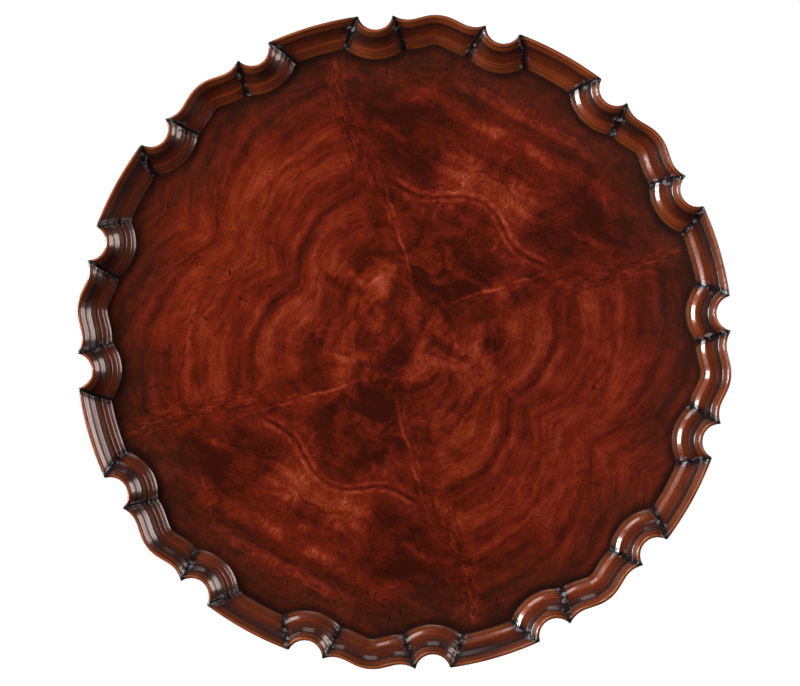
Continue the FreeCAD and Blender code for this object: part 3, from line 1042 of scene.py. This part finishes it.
class Around:
    """A Geometry Nodes tree that sets copies of a piece about the column."""

    KINDS: ClassVar[dict] = {
        int: "NodeSocketInt",
        float: "NodeSocketFloat",
        bpy.types.Material: "NodeSocketMaterial",
    }
    WELD: ClassVar[float] = 0.02 * MM
    SEED: ClassVar[int] = 7

    def __init__(self, task: str, piece: bpy.types.Object, finish: Finish, sizes: dict) -> None:
        """Start the tree, with an input for each size.

        Args:
            task: What the tree does.
            piece: One copy, whose mesh is replaced by the whole set.
            finish: The finish.
            sizes: Value of each input, by its name.
        """
        group = bpy.data.node_groups.new(f"{task}_{piece.name}", "GeometryNodeTree")
        for side in ("INPUT", "OUTPUT"):
            group.interface.new_socket("Shape", in_out=side, socket_type="NodeSocketGeometry")
        self.piece = piece
        self.values = {}
        for name, value in {**sizes, "Finish": finish.material()}.items():
            kind = self.KINDS[type(value)]
            socket = group.interface.new_socket(name, in_out="INPUT", socket_type=kind)
            self.values[socket.identifier] = value
        self.graph = Graph(group)
        inputs = self.graph.node("NodeGroupInput").socket.node.outputs
        self.given = {socket.name: Wire(self.graph, socket) for socket in inputs if socket.name}

    def copies(self, points: Wire, turn: Wire) -> Wire:
        """Set a copy on each point and make the copies real.

        Args:
            points: The points.
            turn: Each copy's turn about its own upright axis.

        Returns:
            The copies.
        """
        sockets = {
            "Points": points,
            "Instance": self.given["Shape"],
            "Rotation": self.graph.join(0.0, 0.0, turn),
        }
        ring = self.graph.node("GeometryNodeInstanceOnPoints", sockets)
        return self.graph.node("GeometryNodeRealizeInstances", {0: ring})

    def keep(self, ring: Wire) -> None:
        """Give the ring its finish, run the tree and keep the result as the piece's mesh.

        Args:
            ring: The copies.
        """
        sockets = {"Geometry": ring, "Material": self.given["Finish"]}
        self.graph.node("NodeGroupOutput", {0: self.graph.node("GeometryNodeSetMaterial", sockets)})
        modifier = self.piece.modifiers.new("around", "NODES")
        modifier.node_group = self.graph.tree
        for identifier, value in self.values.items():
            modifier[identifier] = value
        settle(self.piece)

    @classmethod
    def repeat(cls, piece: bpy.types.Object, count: int, finish: Finish) -> None:
        """Repeat a piece evenly about the axis and weld the joints.

        Args:
            piece: One repeat.
            count: Number of repeats.
            finish: The finish.
        """
        sizes = {"Count": count, "Pitch": 2 * math.pi / count, "Weld": cls.WELD}
        tree = cls("repeat", piece, finish, sizes)
        graph, given = tree.graph, tree.given
        points = graph.node("GeometryNodePoints", {"Count": given["Count"]})
        ring = tree.copies(points, graph.node("GeometryNodeInputIndex") * given["Pitch"])
        weld = {"Geometry": ring, "Distance": given["Weld"]}
        tree.keep(graph.node("GeometryNodeMergeByDistance", weld))

    @classmethod
    def scatter(
        cls, piece: bpy.types.Object, count: int, radius: float, height: float, finish: Finish
    ) -> None:
        """Set copies of a piece on a circle, each turned at random about its own axis.

        Args:
            piece: One copy at the origin.
            count: Number of copies.
            radius: Radius of the circle in metres.
            height: Height of the circle in metres.
            finish: The finish.
        """
        sizes = {"Count": count, "Radius": radius, "Height": height, "Seed": cls.SEED}
        tree = cls("scatter", piece, finish, sizes)
        graph, given = tree.graph, tree.given
        circle = {"Vertices": given["Count"], "Radius": given["Radius"]}
        points = graph.node("GeometryNodeMeshCircle", circle)
        lift = {"Geometry": points, "Translation": graph.join(0.0, 0.0, given["Height"])}
        points = graph.node("GeometryNodeTransform", lift)
        spin = {"Min": 0.0, "Max": math.pi, "Seed": given["Seed"]}
        turn = graph.node("FunctionNodeRandomValue", spin, {"data_type": "FLOAT"})
        tree.keep(tree.copies(points, turn))


# ---------------- piecrust trays


@dataclass(frozen=True)
class Piecrust:
    """Plan of one tray's rim in millimetres, and the same plan moved in by an inset."""

    radius: float
    repeats: int
    bracket: float = 45.3
    bracket_half_angle: float = math.radians(20)
    straight: float = 12.5
    flank: float = 29.1
    scallop: float = 18.9
    scallop_out: float = 2.3
    columns: tuple[int, ...] = (6, 4, 10, 16, 14)
    soft_reach: float = 2.2
    soft_passes: int = 3

    @property
    def pitch(self) -> float:
        """Angle of one repeat."""
        return 2 * math.pi / self.repeats

    @property
    def bracket_centre(self) -> np.ndarray:
        """Centre of the bracket's arc."""
        return np.array([self.radius - self.bracket, 0.0])

    @property
    def flank_centre(self) -> np.ndarray:
        """Centre of the hollow flank's arc."""
        out = direction(self.bracket_half_angle)
        return self.bracket_centre + out * (self.bracket + self.flank) + to_left(out) * self.straight

    @property
    def scallop_centre(self) -> np.ndarray:
        """Centre of the scallop's arc."""
        return (self.radius + self.scallop_out) * direction(self.pitch / 4)

    @staticmethod
    def crossings(first: Circle, second: Circle) -> list[np.ndarray]:
        """Find where two circles cross.

        Args:
            first: Centre and radius of one circle.
            second: Centre and radius of the other.

        Returns:
            Both points.
        """
        gap = second[0] - first[0]
        length = float(np.hypot(*gap))
        along = (length**2 + first[1] ** 2 - second[1] ** 2) / (2 * length)
        unit = gap / length
        side = to_left(unit) * math.sqrt(first[1] ** 2 - along**2)
        middle = first[0] + unit * along
        return [middle + side, middle - side]

    def stops(self, inset: float) -> list[np.ndarray]:
        """Give the ends of the arcs of half a repeat.

        Args:
            inset: How far the plan is moved in.

        Returns:
            Six points from the bracket's middle to the long arc's middle.
        """
        out = direction(self.bracket_half_angle)
        bracket_end = self.bracket_centre + out * (self.bracket - inset)
        straight_end = bracket_end + to_left(out) * self.straight
        flank = (self.flank_centre, self.flank + inset)
        scallop = (self.scallop_centre, self.scallop + inset)
        long_arc = (np.zeros(2), self.radius - inset)
        inner_mitre = min(self.crossings(scallop, flank), key=lambda point: np.hypot(*point))
        crossings = self.crossings(long_arc, scallop)
        outer_mitre = max(crossings, key=lambda point: math.atan2(point[1], point[0]))
        start, joint = (long_arc[1] * direction(angle) for angle in (0.0, self.pitch / 2))
        return [start, bracket_end, straight_end, inner_mitre, outer_mitre, joint]

    @staticmethod
    def arc(
        centre: np.ndarray | None, start: np.ndarray, end: np.ndarray, count: int, crowd: bool
    ) -> np.ndarray:
        """Lay points along an arc or a straight.

        Args:
            centre: The arc's centre, or none for a straight.
            start: First point.
            end: Point after the last.
            count: Number of points.
            crowd: Whether they stand closer together near both ends.

        Returns:
            The points, without the end.
        """
        share = (np.arange(count) / count)[:, None]
        if crowd:
            share = (1 - np.cos(np.pi * share)) / 2
        if centre is None:
            return start + (end - start) * share
        first = math.atan2(*(start - centre)[::-1])
        sweep = math.atan2(*(end - centre)[::-1]) - first
        sweep = (sweep + math.pi) % (2 * math.pi) - math.pi
        angle = first + sweep * share
        reach = np.hypot(*(start - centre))
        return centre + reach * np.hstack([np.cos(angle), np.sin(angle)])

    def ring(self, inset: float) -> tuple[np.ndarray, np.ndarray]:
        """Lay out one whole repeat at an inset, a little eased at its mitres.

        Args:
            inset: How far the plan is moved in.

        Returns:
            The points, from joint to joint, and each one's distance from the nearest mitre.
        """
        stops = self.stops(inset)
        centres = (self.bracket_centre, None, self.flank_centre, self.scallop_centre, np.zeros(2))
        spans = zip(centres, stops, stops[1:], self.columns)
        half = [self.arc(*span, crowd=place > 1) for place, span in enumerate(spans)]
        upper = np.vstack([*half, stops[-1]])
        line = np.vstack([upper[:0:-1] * (1, -1), upper])
        mitres = [stop * side for stop in stops[3:5] for side in ((1, 1), (1, -1))]
        gaps = np.min([np.hypot(*(line - mitre).T) for mitre in mitres], axis=0)
        near = (gaps[1:-1] < self.soft_reach)[:, None]
        for _ in range(self.soft_passes):
            mean = (line[:-2] + 2 * line[1:-1] + line[2:]) / 4
            line[1:-1] = np.where(near, mean, line[1:-1])
        return line, gaps


@dataclass
class Tray:
    """One dished tray: its carved rim, its veneer leaves and its core board."""

    tier: Tier
    plan: Piecrust
    floor: float
    rim_nodes: int
    veneer: CrotchVeneer
    rim_finish: Finish
    board_finish: Finish
    depth: float = 17.0
    veneer_depth: float = 0.8
    width: float = 31.0
    core_inset: float = 27.5
    relief_reach: float = 1.6
    sharp_above: float = 50
    # From the foot of the outer edge over the lip to the veneer: inset, and height over the floor.
    section: tuple[Point, ...] = (
        (4.5, -17.0), (3.9, -16.4), (0.9, -9.2), (0.25, -8.1), (0.0, -6.8), (0.0, 12.2),
        (0.2, 14.3), (0.9, 15.6), (2.0, 16.0), (3.0, 15.75), (3.6, 15.1), (4.0, 14.4),
        (4.5, 14.05), (6.5, 12.88), (8.4, 11.75), (8.8, 11.4), (9.3, 11.2), (11.5, 10.1),
        (14.0, 8.85), (14.4, 8.6), (14.9, 8.45), (17.0, 7.58), (19.0, 6.75), (20.2, 6.4),
        (21.3, 6.2), (22.0, 5.8), (23.0, 5.0), (24.5, 3.7), (25.8, 2.6), (26.6, 2.1),
        (27.6, 1.7), (29.2, 1.0), (30.4, 0.4), (31.0, 0.0),
    )

    def build(self) -> bpy.types.Object:
        """Make the rim's mesh and dress the veneer leaves and the board.

        Returns:
            The rim.
        """
        name = self.tier.value
        rim = self.rim()
        nodes = [f"{name}_rim_{index + 1}" for index in range(self.rim_nodes)]
        fit_out(rim, Slot.RIM, *nodes)
        for index in range(self.plan.repeats):
            dress(f"{name}_veneer_leaf_{index + 1}", self.veneer)
        dress(f"{name}_board", self.board_finish)
        return rim

    def rim(self) -> bpy.types.Object:
        """Carve one repeat of the rim and run it round the tray.

        Returns:
            The whole rim.
        """
        section = smooth_line(self.section, 2)
        section[:, 0] = np.maximum(section[:, 0], 0)
        rings = [(*self.plan.ring(inset), height) for inset, height in section]
        edge, (foot, foot_gaps, _) = rings[0][0], rings[-1]
        core = self.plan.radius - self.core_inset
        inner = edge * (core / np.hypot(*edge.T))[:, None]
        hidden = ((foot, -self.veneer_depth), (inner, -self.veneer_depth), (inner, -self.depth))
        rings += [(line, foot_gaps, height) for line, height in hidden]
        lines, gaps, heights = (np.array(column) for column in zip(*rings))
        levels = np.broadcast_to(heights[:, None, None] + self.floor, (*gaps.shape, 1))
        grid = np.concatenate([lines, levels], axis=2)
        mesh = grid_mesh(f"{self.tier.value}_rim_repeat", grid * MM, wrap_rows=True)
        relief = relief_of(section, section[:, 1], self.relief_reach)
        rest = np.ones(len(hidden))
        inset = np.concatenate([section[:, 0], rest * self.width])
        columns = grid.shape[1]
        store(mesh, "inset", np.repeat(inset, columns))
        store(mesh, "relief", np.repeat(np.concatenate([relief, rest * 0]), columns))
        store(mesh, "mitre", gaps)
        piece = link(f"{self.tier.value}_piecrust_rim", mesh)
        Around.repeat(piece, self.plan.repeats, self.rim_finish)
        shade(piece.data, self.sharp_above)
        return piece


# ---------------- turned work


@dataclass(frozen=True)
class Turning:
    """A turned piece: its closed half section as runs of (radius, height) points in millimetres.

    Each run is smooth within itself and starts, at a crisp edge, where the one before it ends;
    the first starts where the last one ends.
    """

    node: str
    runs: tuple[Run, ...]
    segments: int = 120
    steps: int = 5
    relief_reach: float = 4.0
    sharp_above: float = 40

    def line(self) -> np.ndarray:
        """Join the runs.

        Returns:
            The section's points.
        """
        ends = [run[-1] for run in self.runs]
        parts = [
            smooth_line((start, *run), self.steps if len(run) > 1 else 1)
            for start, run in zip([ends[-1], *ends], self.runs)
        ]
        return np.vstack([part[:-1] for part in parts])

    def build(self, finish: Finish) -> None:
        """Turn the section about the axis.

        Args:
            finish: The finish.
        """
        line = self.line()
        angles = np.linspace(0, 2 * np.pi, self.segments, endpoint=False)
        radii, heights = line[:, :1], line[:, 1:]
        sides = (radii * np.cos(angles), radii * np.sin(angles), heights * np.ones(self.segments))
        name = f"{self.node}_turning"
        mesh = grid_mesh(name, np.stack(sides, axis=2) * MM, wrap_rows=True, wrap_columns=True)
        relief = relief_of(line, line[:, 0], self.relief_reach)
        store(mesh, "relief", np.repeat(relief, self.segments))
        mesh.materials.append(finish.material())
        shade(mesh, self.sharp_above)
        fit_out(link(name, mesh), Slot.TURNED, self.node)


def corners(*points: Point) -> tuple[Run, ...]:
    """Runs of one point each: straight lines between crisp edges."""
    return tuple((point,) for point in points)


@dataclass(frozen=True)
class PlateShape:
    """A turned plate with a hollow edge, in millimetres."""

    node: str
    radius: float
    bottom: float
    top: float
    hollow_rise: tuple[float, ...]
    bore: float = 22.1
    flat_inset: float = 28.0
    quirk: tuple[Point, ...] = ((-26.6, 0.4), (-26.0, 1.6))
    hollow_insets: tuple[float, ...] = (-20.0, -14.0, -9.0, -5.4, -4.0)
    edge_depth: float = 7.0
    edge_step: float = 1.4
    edge: tuple[Point, ...] = ((-0.2, 1.4), (0.0, 3.4), (-0.2, 5.6), (-1.2, 7.0))

    def run(self, points: Sequence[Point], level: float) -> Run:
        """Set a run out from the plate's radius and up from a level."""
        return tuple((self.radius + out, level + up) for out, up in points)

    def turning(self) -> Turning:
        """Draw the plate's section.

        Returns:
            The turned piece.
        """
        edge_bottom = self.top - self.edge_depth
        runs = (
            *corners((self.radius - self.flat_inset, self.bottom)),
            self.run(self.quirk, self.bottom),
            self.run(tuple(zip(self.hollow_insets, self.hollow_rise)), self.bottom),
            *corners((self.radius - self.edge_step, edge_bottom)),
            self.run(self.edge, edge_bottom),
            *corners((self.bore, self.top), (self.bore, self.bottom)),
        )
        return Turning(self.node, runs)


UPPER_COLUMN = Turning("upper_column", (
    *corners((36.6, 330.0)),
    ((38.6, 331.6), (39.8, 334.0), (39.8, 338.0), (38.4, 340.8), (36.6, 342.0)),
    ((35.4, 342.6), (35.2, 343.6)),
    ((32.4, 344.2), (29.6, 347.0), (28.2, 351.0), (28.6, 355.4), (30.6, 359.0)),
    ((32.2, 359.4), (32.8, 360.8), (32.2, 362.2), (31.2, 362.8)),
    (
        (33.6, 370.0), (36.4, 380.0), (37.6, 391.0), (36.2, 402.0), (32.6, 413.0), (28.4, 422.0),
        (25.2, 430.0), (23.0, 440.0), (21.0, 456.0), (19.4, 478.0), (18.2, 502.0), (17.4, 528.0),
        (16.9, 556.0), (16.5, 587.6),
    ),
    ((18.6, 588.4), (19.6, 590.0), (20.6, 591.0)),
    ((22.4, 592.4), (23.3, 595.0), (22.8, 598.6), (21.0, 601.0)),
    ((18.4, 602.4), (16.7, 604.6)),
    (
        (16.5, 612.0), (17.2, 622.0), (18.9, 631.0), (22.0, 640.0), (25.6, 646.0), (28.4, 649.0),
    ),
    ((30.4, 649.2), (31.2, 651.0)),
    ((32.0, 654.0), (32.0, 663.0), (31.2, 667.0), (30.4, 669.0)),
    *corners(
        (22.0, 669.0), (22.0, 691.0), (17.0, 691.0), (17.0, 677.0), (6.5, 677.0), (6.5, 351.0),
        (22.1, 351.0), (22.1, 330.0),
    ),
))
LOWER_COLUMN = Turning("lower_column", (
    *corners((40.6, 95.0), (42.0, 96.4), (42.0, 186.4)),
    ((41.5, 188.6), (40.2, 190.2), (38.0, 191.0)),
    ((34.6, 191.6), (31.2, 195.0), (29.4, 200.0), (29.6, 204.0), (30.6, 206.6)),
    ((32.0, 207.0), (32.6, 208.6), (32.0, 210.2), (30.8, 210.8)),
    (
        (33.0, 218.0), (34.6, 226.0), (34.6, 235.0), (32.6, 245.0), (28.8, 254.0), (26.0, 260.0),
        (25.0, 263.0),
    ),
    ((26.4, 264.0), (26.6, 266.0), (25.4, 267.6)),
    ((24.4, 272.0), (25.4, 279.0), (28.6, 285.0), (33.0, 289.6)),
    ((34.0, 291.0), (34.0, 294.0), (33.4, 295.0)),
    *corners((22.0, 295.0), (22.0, 350.0), (6.5, 350.0), (6.5, 95.0)),
))


@dataclass(frozen=True)
class ScrewHead:
    """A flat slotted screw head that looks down, in millimetres."""

    radius: float = 4.2
    proud: float = 0.5
    sunk: float = 0.3
    half_slot: float = 0.546
    rim_points: int = 11
    shrink: float = 0.93

    def mesh(self, name: str) -> bpy.types.Mesh:
        """Make its two halves, with the slot between them.

        Args:
            name: The mesh's name.

        Returns:
            The mesh.
        """
        start = math.asin(self.half_slot / self.radius)
        angles = np.linspace(start, math.pi - start, self.rim_points)
        points, faces = [], []
        for side in (1, -1):
            rim = [self.radius * direction(angle) * (1, side) for angle in angles]
            narrow = [self.narrowed(x, y) for x, y in rim]
            base = len(points)
            for line, z in ((rim, self.proud), (rim, -self.sunk), (narrow, -self.proud)):
                points += [(x * MM, y * MM, z * MM) for x, y in line]
            skin = tube_faces(3, len(rim), base)
            faces += skin if side < 0 else [face[::-1] for face in skin]
        return make_mesh(name, points, faces)

    def narrowed(self, x: float, y: float) -> Point:
        """Draw a point of the rim in for the chamfer, but leave those beside the slot in line."""
        return x * self.shrink, y * self.shrink if abs(y) > self.half_slot * 2 else y


@dataclass
class Pedestal:
    """Column, plates and the hardware that ties them together."""

    finish: Finish
    steel: Finish
    iron: Finish
    screw: ScrewHead = ScrewHead()
    turnings: tuple[Turning, ...] = (
        UPPER_COLUMN,
        LOWER_COLUMN,
        PlateShape("top_plate", 120.0, 669.0, 691.0, (2.0, 3.8, 7.4, 12.0, 14.8)).turning(),
        PlateShape("lower_plate", 85.0, 295.0, 313.0, (2.0, 3.2, 5.6, 8.4, 10.6)).turning(),
    )
    # Plate, number of screws, radius of their ring and height of the underside, in metres.
    screw_rings: tuple[tuple[str, int, float, float], ...] = (
        ("top_plate", 8, 0.078, 0.669),
        ("lower_plate", 6, 0.048, 0.295),
    )
    hardware: tuple[str, ...] = (
        "tie_rod",
        "tie_rod_upper_washer",
        "tie_rod_upper_nut",
        "tie_rod_lower_washer",
        "tie_rod_lower_nut",
    )

    def build(self) -> None:
        """Turn the wooden parts, drive the screws and dress the metalwork."""
        for turning in self.turnings:
            turning.build(self.finish)
        for plate, count, radius, height in self.screw_rings:
            name = f"{plate}_screws"
            piece = link(name, self.screw.mesh(name))
            Around.scatter(piece, count, radius, height, self.steel)
            fit_out(piece, Slot.STEEL)
        for node in self.hardware:
            dress(node, self.steel)
        dress("leg_spider", self.iron)


# ---------------- legs


@dataclass
class CabrioleLeg:
    """Cabriole legs, lofted from two side curves and a taper, on pad feet, in millimetres."""

    finish: Finish
    angles: tuple[float, ...] = (-90.0, 30.0, 150.0)
    upper: tuple[Point, ...] = (
        (38.0, 184.5), (62.0, 187.6), (92.0, 187.8), (120.0, 180.0), (143.0, 166.0),
        (164.0, 147.0), (184.0, 124.0), (198.0, 103.0), (211.0, 82.0), (225.0, 62.0),
        (240.0, 46.5), (257.0, 36.0), (275.0, 30.0), (284.0, 28.6),
    )
    under: tuple[Point, ...] = (
        (38.0, 95.2), (60.0, 95.2), (84.0, 95.6), (106.0, 103.2), (126.0, 104.0),
        (151.0, 96.0), (172.0, 80.0), (185.0, 67.0), (198.0, 52.5), (211.0, 39.0),
        (226.0, 25.5), (243.0, 14.5), (262.0, 8.5), (276.0, 7.0),
    )
    taper: tuple[Point, ...] = (
        (30.0, 22.8), (110.0, 20.6), (172.0, 16.4), (235.0, 12.9), (300.0, 13.2),
    )
    foot_out: float = 282.0
    foot: tuple[Point, ...] = (
        (0.0, 0.0), (21.0, 0.0), (24.5, 0.3), (28.2, 2.4), (30.0, 6.4), (29.6, 11.0),
        (27.4, 15.4), (23.6, 19.4), (18.6, 23.4), (13.0, 27.0), (6.5, 29.2), (0.0, 29.8),
    )
    sides: int = 48
    square_to: float = 60.0
    round_from: float = 210.0
    square: float = 5.0
    round: float = 2.4
    voxel: float = 1.5
    ease: float = 0.5
    ease_passes: int = 6
    sole: float = 0.6

    def build(self) -> None:
        """Make the legs."""
        for index, degrees in enumerate(self.angles, start=1):
            mesh = self.shape(f"leg_{index}_carving")
            mesh.transform(Matrix.Rotation(math.radians(degrees), 4, "Z"))
            mesh.materials.append(self.finish.material())
            fit_out(link(mesh.name, mesh), Slot.LEG, f"leg_{index}")

    def turns(self) -> np.ndarray:
        """Angles of the points round a section."""
        return np.linspace(0, 2 * np.pi, self.sides, endpoint=False)

    def shank(self) -> np.ndarray:
        """Lay the shank's sections along its curve, square at the hub and rounder to the foot.

        Returns:
            Points as sections by points by three.
        """
        upper = smooth_line(self.upper, 5)
        under = smooth_line(self.under, 5)
        middle = (upper + under) / 2
        half = (upper - under) / 2
        reach, widths = zip(*self.taper)
        width = np.interp(middle[:, 0], reach, widths)
        share = np.clip((middle[:, 0] - self.square_to) / (self.round_from - self.square_to), 0, 1)
        power = 2 / (self.square - (self.square - self.round) * share)
        rise, side = (
            np.sign(wave) * np.abs(wave) ** power[:, None]
            for wave in (np.sin(self.turns()), np.cos(self.turns()))
        )
        out = middle[:, :1] + half[:, :1] * rise
        height = middle[:, 1:] + half[:, 1:] * rise
        return np.stack([out, width[:, None] * side, height], axis=2)

    def pad(self) -> np.ndarray:
        """Turn the pad foot, leaving out the two points on its axis.

        Returns:
            Points as rings by points by three.
        """
        radius, height = smooth_line(self.foot, 2)[1:-1].T[:, :, None]
        turns = self.turns()
        level = height * np.ones(self.sides)
        out = self.foot_out + radius * np.cos(turns)
        return np.stack([out, radius * np.sin(turns), level], axis=2)

    def shape(self, name: str) -> bpy.types.Mesh:
        """Fuse the shank and the pad foot into one carved form.

        Args:
            name: The mesh's name.

        Returns:
            The mesh, pointing along X.
        """
        points, faces = [], []
        for rings, inside_out in ((self.shank(), True), (self.pad(), False)):
            skin = tube_faces(*rings.shape[:2], len(points))
            faces += [face[::-1] for face in skin] if inside_out else skin
            points += (rings.reshape(-1, 3) * MM).tolist()
        piece = link(name, make_mesh(name, points, faces))
        remesh = piece.modifiers.new("fuse", "REMESH")
        remesh.mode = "VOXEL"
        remesh.voxel_size = self.voxel * MM
        ease = piece.modifiers.new("ease", "SMOOTH")
        ease.factor = self.ease
        ease.iterations = self.ease_passes
        settle(piece)
        result = piece.data
        bpy.data.objects.remove(piece)
        self.flatten(result)
        result.shade_smooth()
        result.name = name
        return result

    def flatten(self, mesh: bpy.types.Mesh) -> None:
        """Set the sole on the ground.

        Args:
            mesh: The leg's mesh.
        """
        points = np.zeros(len(mesh.vertices) * 3, np.float32)
        mesh.vertices.foreach_get("co", points)
        points = points.reshape(-1, 3)
        points[points[:, 2] < self.sole * MM, 2] = 0.0
        mesh.vertices.foreach_set("co", points.ravel())
        mesh.update()


# ---------------- floor, lights, camera


@dataclass(frozen=True)
class Lamp:
    """A soft lamp: its place by the camera's right and up and by height, its size and its watts.

    The flat trays would mirror a low lamp as a white blank, so only the rims mirror it.
    """

    name: str
    place: tuple[float, float, float]
    size: Point
    power: float
    tint: str = "ffffff"
    low: bool = False


@dataclass
class Studio:
    """Pale floor, soft lamps round the table and the camera straight overhead."""

    rims: list[bpy.types.Object]
    turn: float = math.radians(6.25)
    camera_place: tuple[float, float, float] = (-0.00438, -0.00105, 2.724)
    lens: float = 83.4
    sensor: float = 36.0
    target: tuple[float, float, float] = (0.0, 0.0, 0.6)
    lamps: tuple[Lamp, ...] = (
        Lamp("right_window", (1.5, 0.4, 2.25), (1.0, 0.7), 28, "ffe4dc"),
        Lamp("left_window", (-2.1, 0.12, 1.25), (1.0, 0.75), 137, low=True),
        Lamp("corner_window", (-1.3, 1.9, 1.2), (1.3, 0.7), 32, low=True),
        Lamp("back_window", (0.1, 1.45, 2.6), (0.9, 0.2), 2),
    )
    just_behind: float = 1.01
    floor_reach: float = 9.0
    floor_tone: tuple[float, ...] = (0.86, 0.86, 0.86, 1.0)
    white: tuple[float, ...] = (1.0, 1.0, 1.0, 1.0)
    floor_glow: float = 1.16
    floor_shadow: float = 0.2
    room_light: float = 0.11
    room_dark: float = 0.02

    def at(self, right: float, up: float, height: float) -> Vector:
        """Point given by its place in the camera's view and its height."""
        return Matrix.Rotation(self.turn, 3, "Z") @ Vector((right, up, height))

    def hang(self, lamp: Lamp, suffix: str = "", further: float = 1.0) -> bpy.types.Object:
        """Hang a lamp, aimed at the table.

        Args:
            lamp: The lamp.
            suffix: End of its name.
            further: How much further out it hangs.

        Returns:
            The lamp's object.
        """
        data = bpy.data.lights.new(lamp.name + suffix, "AREA")
        data.shape = "RECTANGLE"
        data.size, data.size_y = lamp.size
        data.energy = lamp.power
        data.color = colour(lamp.tint)[:3]
        item = link(data.name, data)
        item.location = self.at(*lamp.place) * further
        aim = Vector(self.target) - item.location
        item.rotation_euler = aim.to_track_quat("-Z", "Y").to_euler()
        return item

    def hang_low(self, lamp: Lamp) -> None:
        """Hang a low lamp as two: one that is never mirrored, and one that only the rims mirror.

        Args:
            lamp: The lamp.
        """
        self.hang(lamp).visible_glossy = False
        glint = self.hang(lamp, "_glint", self.just_behind)
        glint.visible_diffuse = False
        glint.light_linking.receiver_collection = bpy.data.collections.new(f"{lamp.name}_rims")
        for rim in self.rims:
            glint.light_linking.receiver_collection.objects.link(rim)

    @staticmethod
    def rays(graph: Graph, *names: str) -> Wire:
        """Tell whether a ray is one of the named kinds.

        Args:
            graph: The material's or the world's graph.
            names: Kinds of ray, as the Light Path node names them.

        Returns:
            One for a ray of those kinds, and nought for any other.
        """
        kinds = graph.node("ShaderNodeLightPath").socket.node.outputs
        share = Wire(graph, kinds[names[0]])
        for name in names[1:]:
            share = share.most(Wire(graph, kinds[name]))
        return share

    def floor(self) -> None:
        """Lay the floor: white to the camera and in mirrors, apart from a share of its shadow."""
        ends = (-self.floor_reach, self.floor_reach)
        mesh = grid_mesh("floor", np.array([[(x, y, 0.0) for x in ends] for y in ends]))
        material = bpy.data.materials.new("pale_floor")
        material.use_nodes = True
        graph = Graph(material.node_tree)
        lit = graph.node("ShaderNodeBsdfDiffuse", {"Color": self.floor_tone})
        shine = {"Color": self.white, "Strength": self.floor_glow}
        glow = graph.node("ShaderNodeEmission", shine)
        seen = self.rays(graph, "Is Camera Ray", "Is Glossy Ray", "Is Transmission Ray")
        share = seen * (1 - self.floor_shadow)
        mixed = graph.node("ShaderNodeMixShader", {0: share, 1: lit, 2: glow})
        graph.node("ShaderNodeOutputMaterial", {"Surface": mixed})
        mesh.materials.append(material)
        link("floor", mesh)

    def sky(self) -> None:
        """Light the room dimly, dark overhead, and show white behind everything."""
        world = bpy.data.worlds.new("room")
        world.use_nodes = True
        graph = Graph(world.node_tree)
        _, _, height = graph.parts(graph.node("ShaderNodeTexCoord", output="Generated"))
        level = height.step(0.7, 0.0) * self.room_light + self.room_dark
        mirrored = self.rays(graph, "Is Glossy Ray", "Is Transmission Ray")
        seen = self.rays(graph, "Is Camera Ray").most(mirrored * height.step(0.2, 0.05))
        strength = seen.most(level * (1.0 - seen))
        shine = {"Color": self.white, "Strength": strength}
        glow = graph.node("ShaderNodeBackground", shine)
        graph.node("ShaderNodeOutputWorld", {"Surface": glow})
        bpy.context.scene.world = world

    def camera(self) -> None:
        """Hang the camera over the table."""
        data = bpy.data.cameras.new("camera")
        data.lens = self.lens
        data.sensor_width = self.sensor
        item = link("camera", data)
        item.location = self.at(*self.camera_place)
        item.rotation_euler = (0, 0, self.turn)
        bpy.context.scene.camera = item

    def build(self) -> None:
        """Lay the floor, hang the lamps and the camera."""
        self.floor()
        self.sky()
        for lamp in self.lamps:
            hang = self.hang_low if lamp.low else self.hang
            hang(lamp)
        self.camera()
        bpy.context.scene.view_settings.view_transform = "Standard"


def main() -> None:
    """Build the table piece by piece, then the studio round it."""
    logging.basicConfig(level=logging.INFO, format="%(message)s")
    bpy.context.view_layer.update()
    rim_finish = CarvedRim("rubbed_rim")
    board_finish = PolishedWood("board_wood", grain=(90.0, 6.0, 90.0), light="7a3c1e", coat=0.25)
    turned_finish = PolishedWood("turned_mahogany")
    leg_finish = PolishedWood("leg_mahogany", grain=(30.0, 30.0, 14.0))
    steel = Metal("zinc_steel")
    iron = Metal("black_iron", tint="1c1a19", roughness=0.55, metallic=0.6)
    top = Tray(
        tier=Tier.TOP,
        plan=Piecrust(355.5, 8),
        floor=708.0,
        rim_nodes=4,
        veneer=CrotchVeneer("top_crotch_veneer"),
        rim_finish=rim_finish,
        board_finish=board_finish,
    )
    lower = Tray(
        tier=Tier.LOWER,
        plan=Piecrust(266.5, 6),
        floor=330.0,
        rim_nodes=3,
        veneer=CrotchVeneer(
            "lower_crotch_veneer",
            radius=0.2665,
            repeats=6,
            first_plain_seam=math.radians(30),
            sweeping_pairs_only=True,
        ),
        rim_finish=rim_finish,
        board_finish=board_finish,
    )
    rims = [tray.build() for tray in (top, lower)]
    Pedestal(finish=turned_finish, steel=steel, iron=iron).build()
    CabrioleLeg(finish=leg_finish).build()
    Studio(rims).build()


if __name__ == "__main__":
    main()
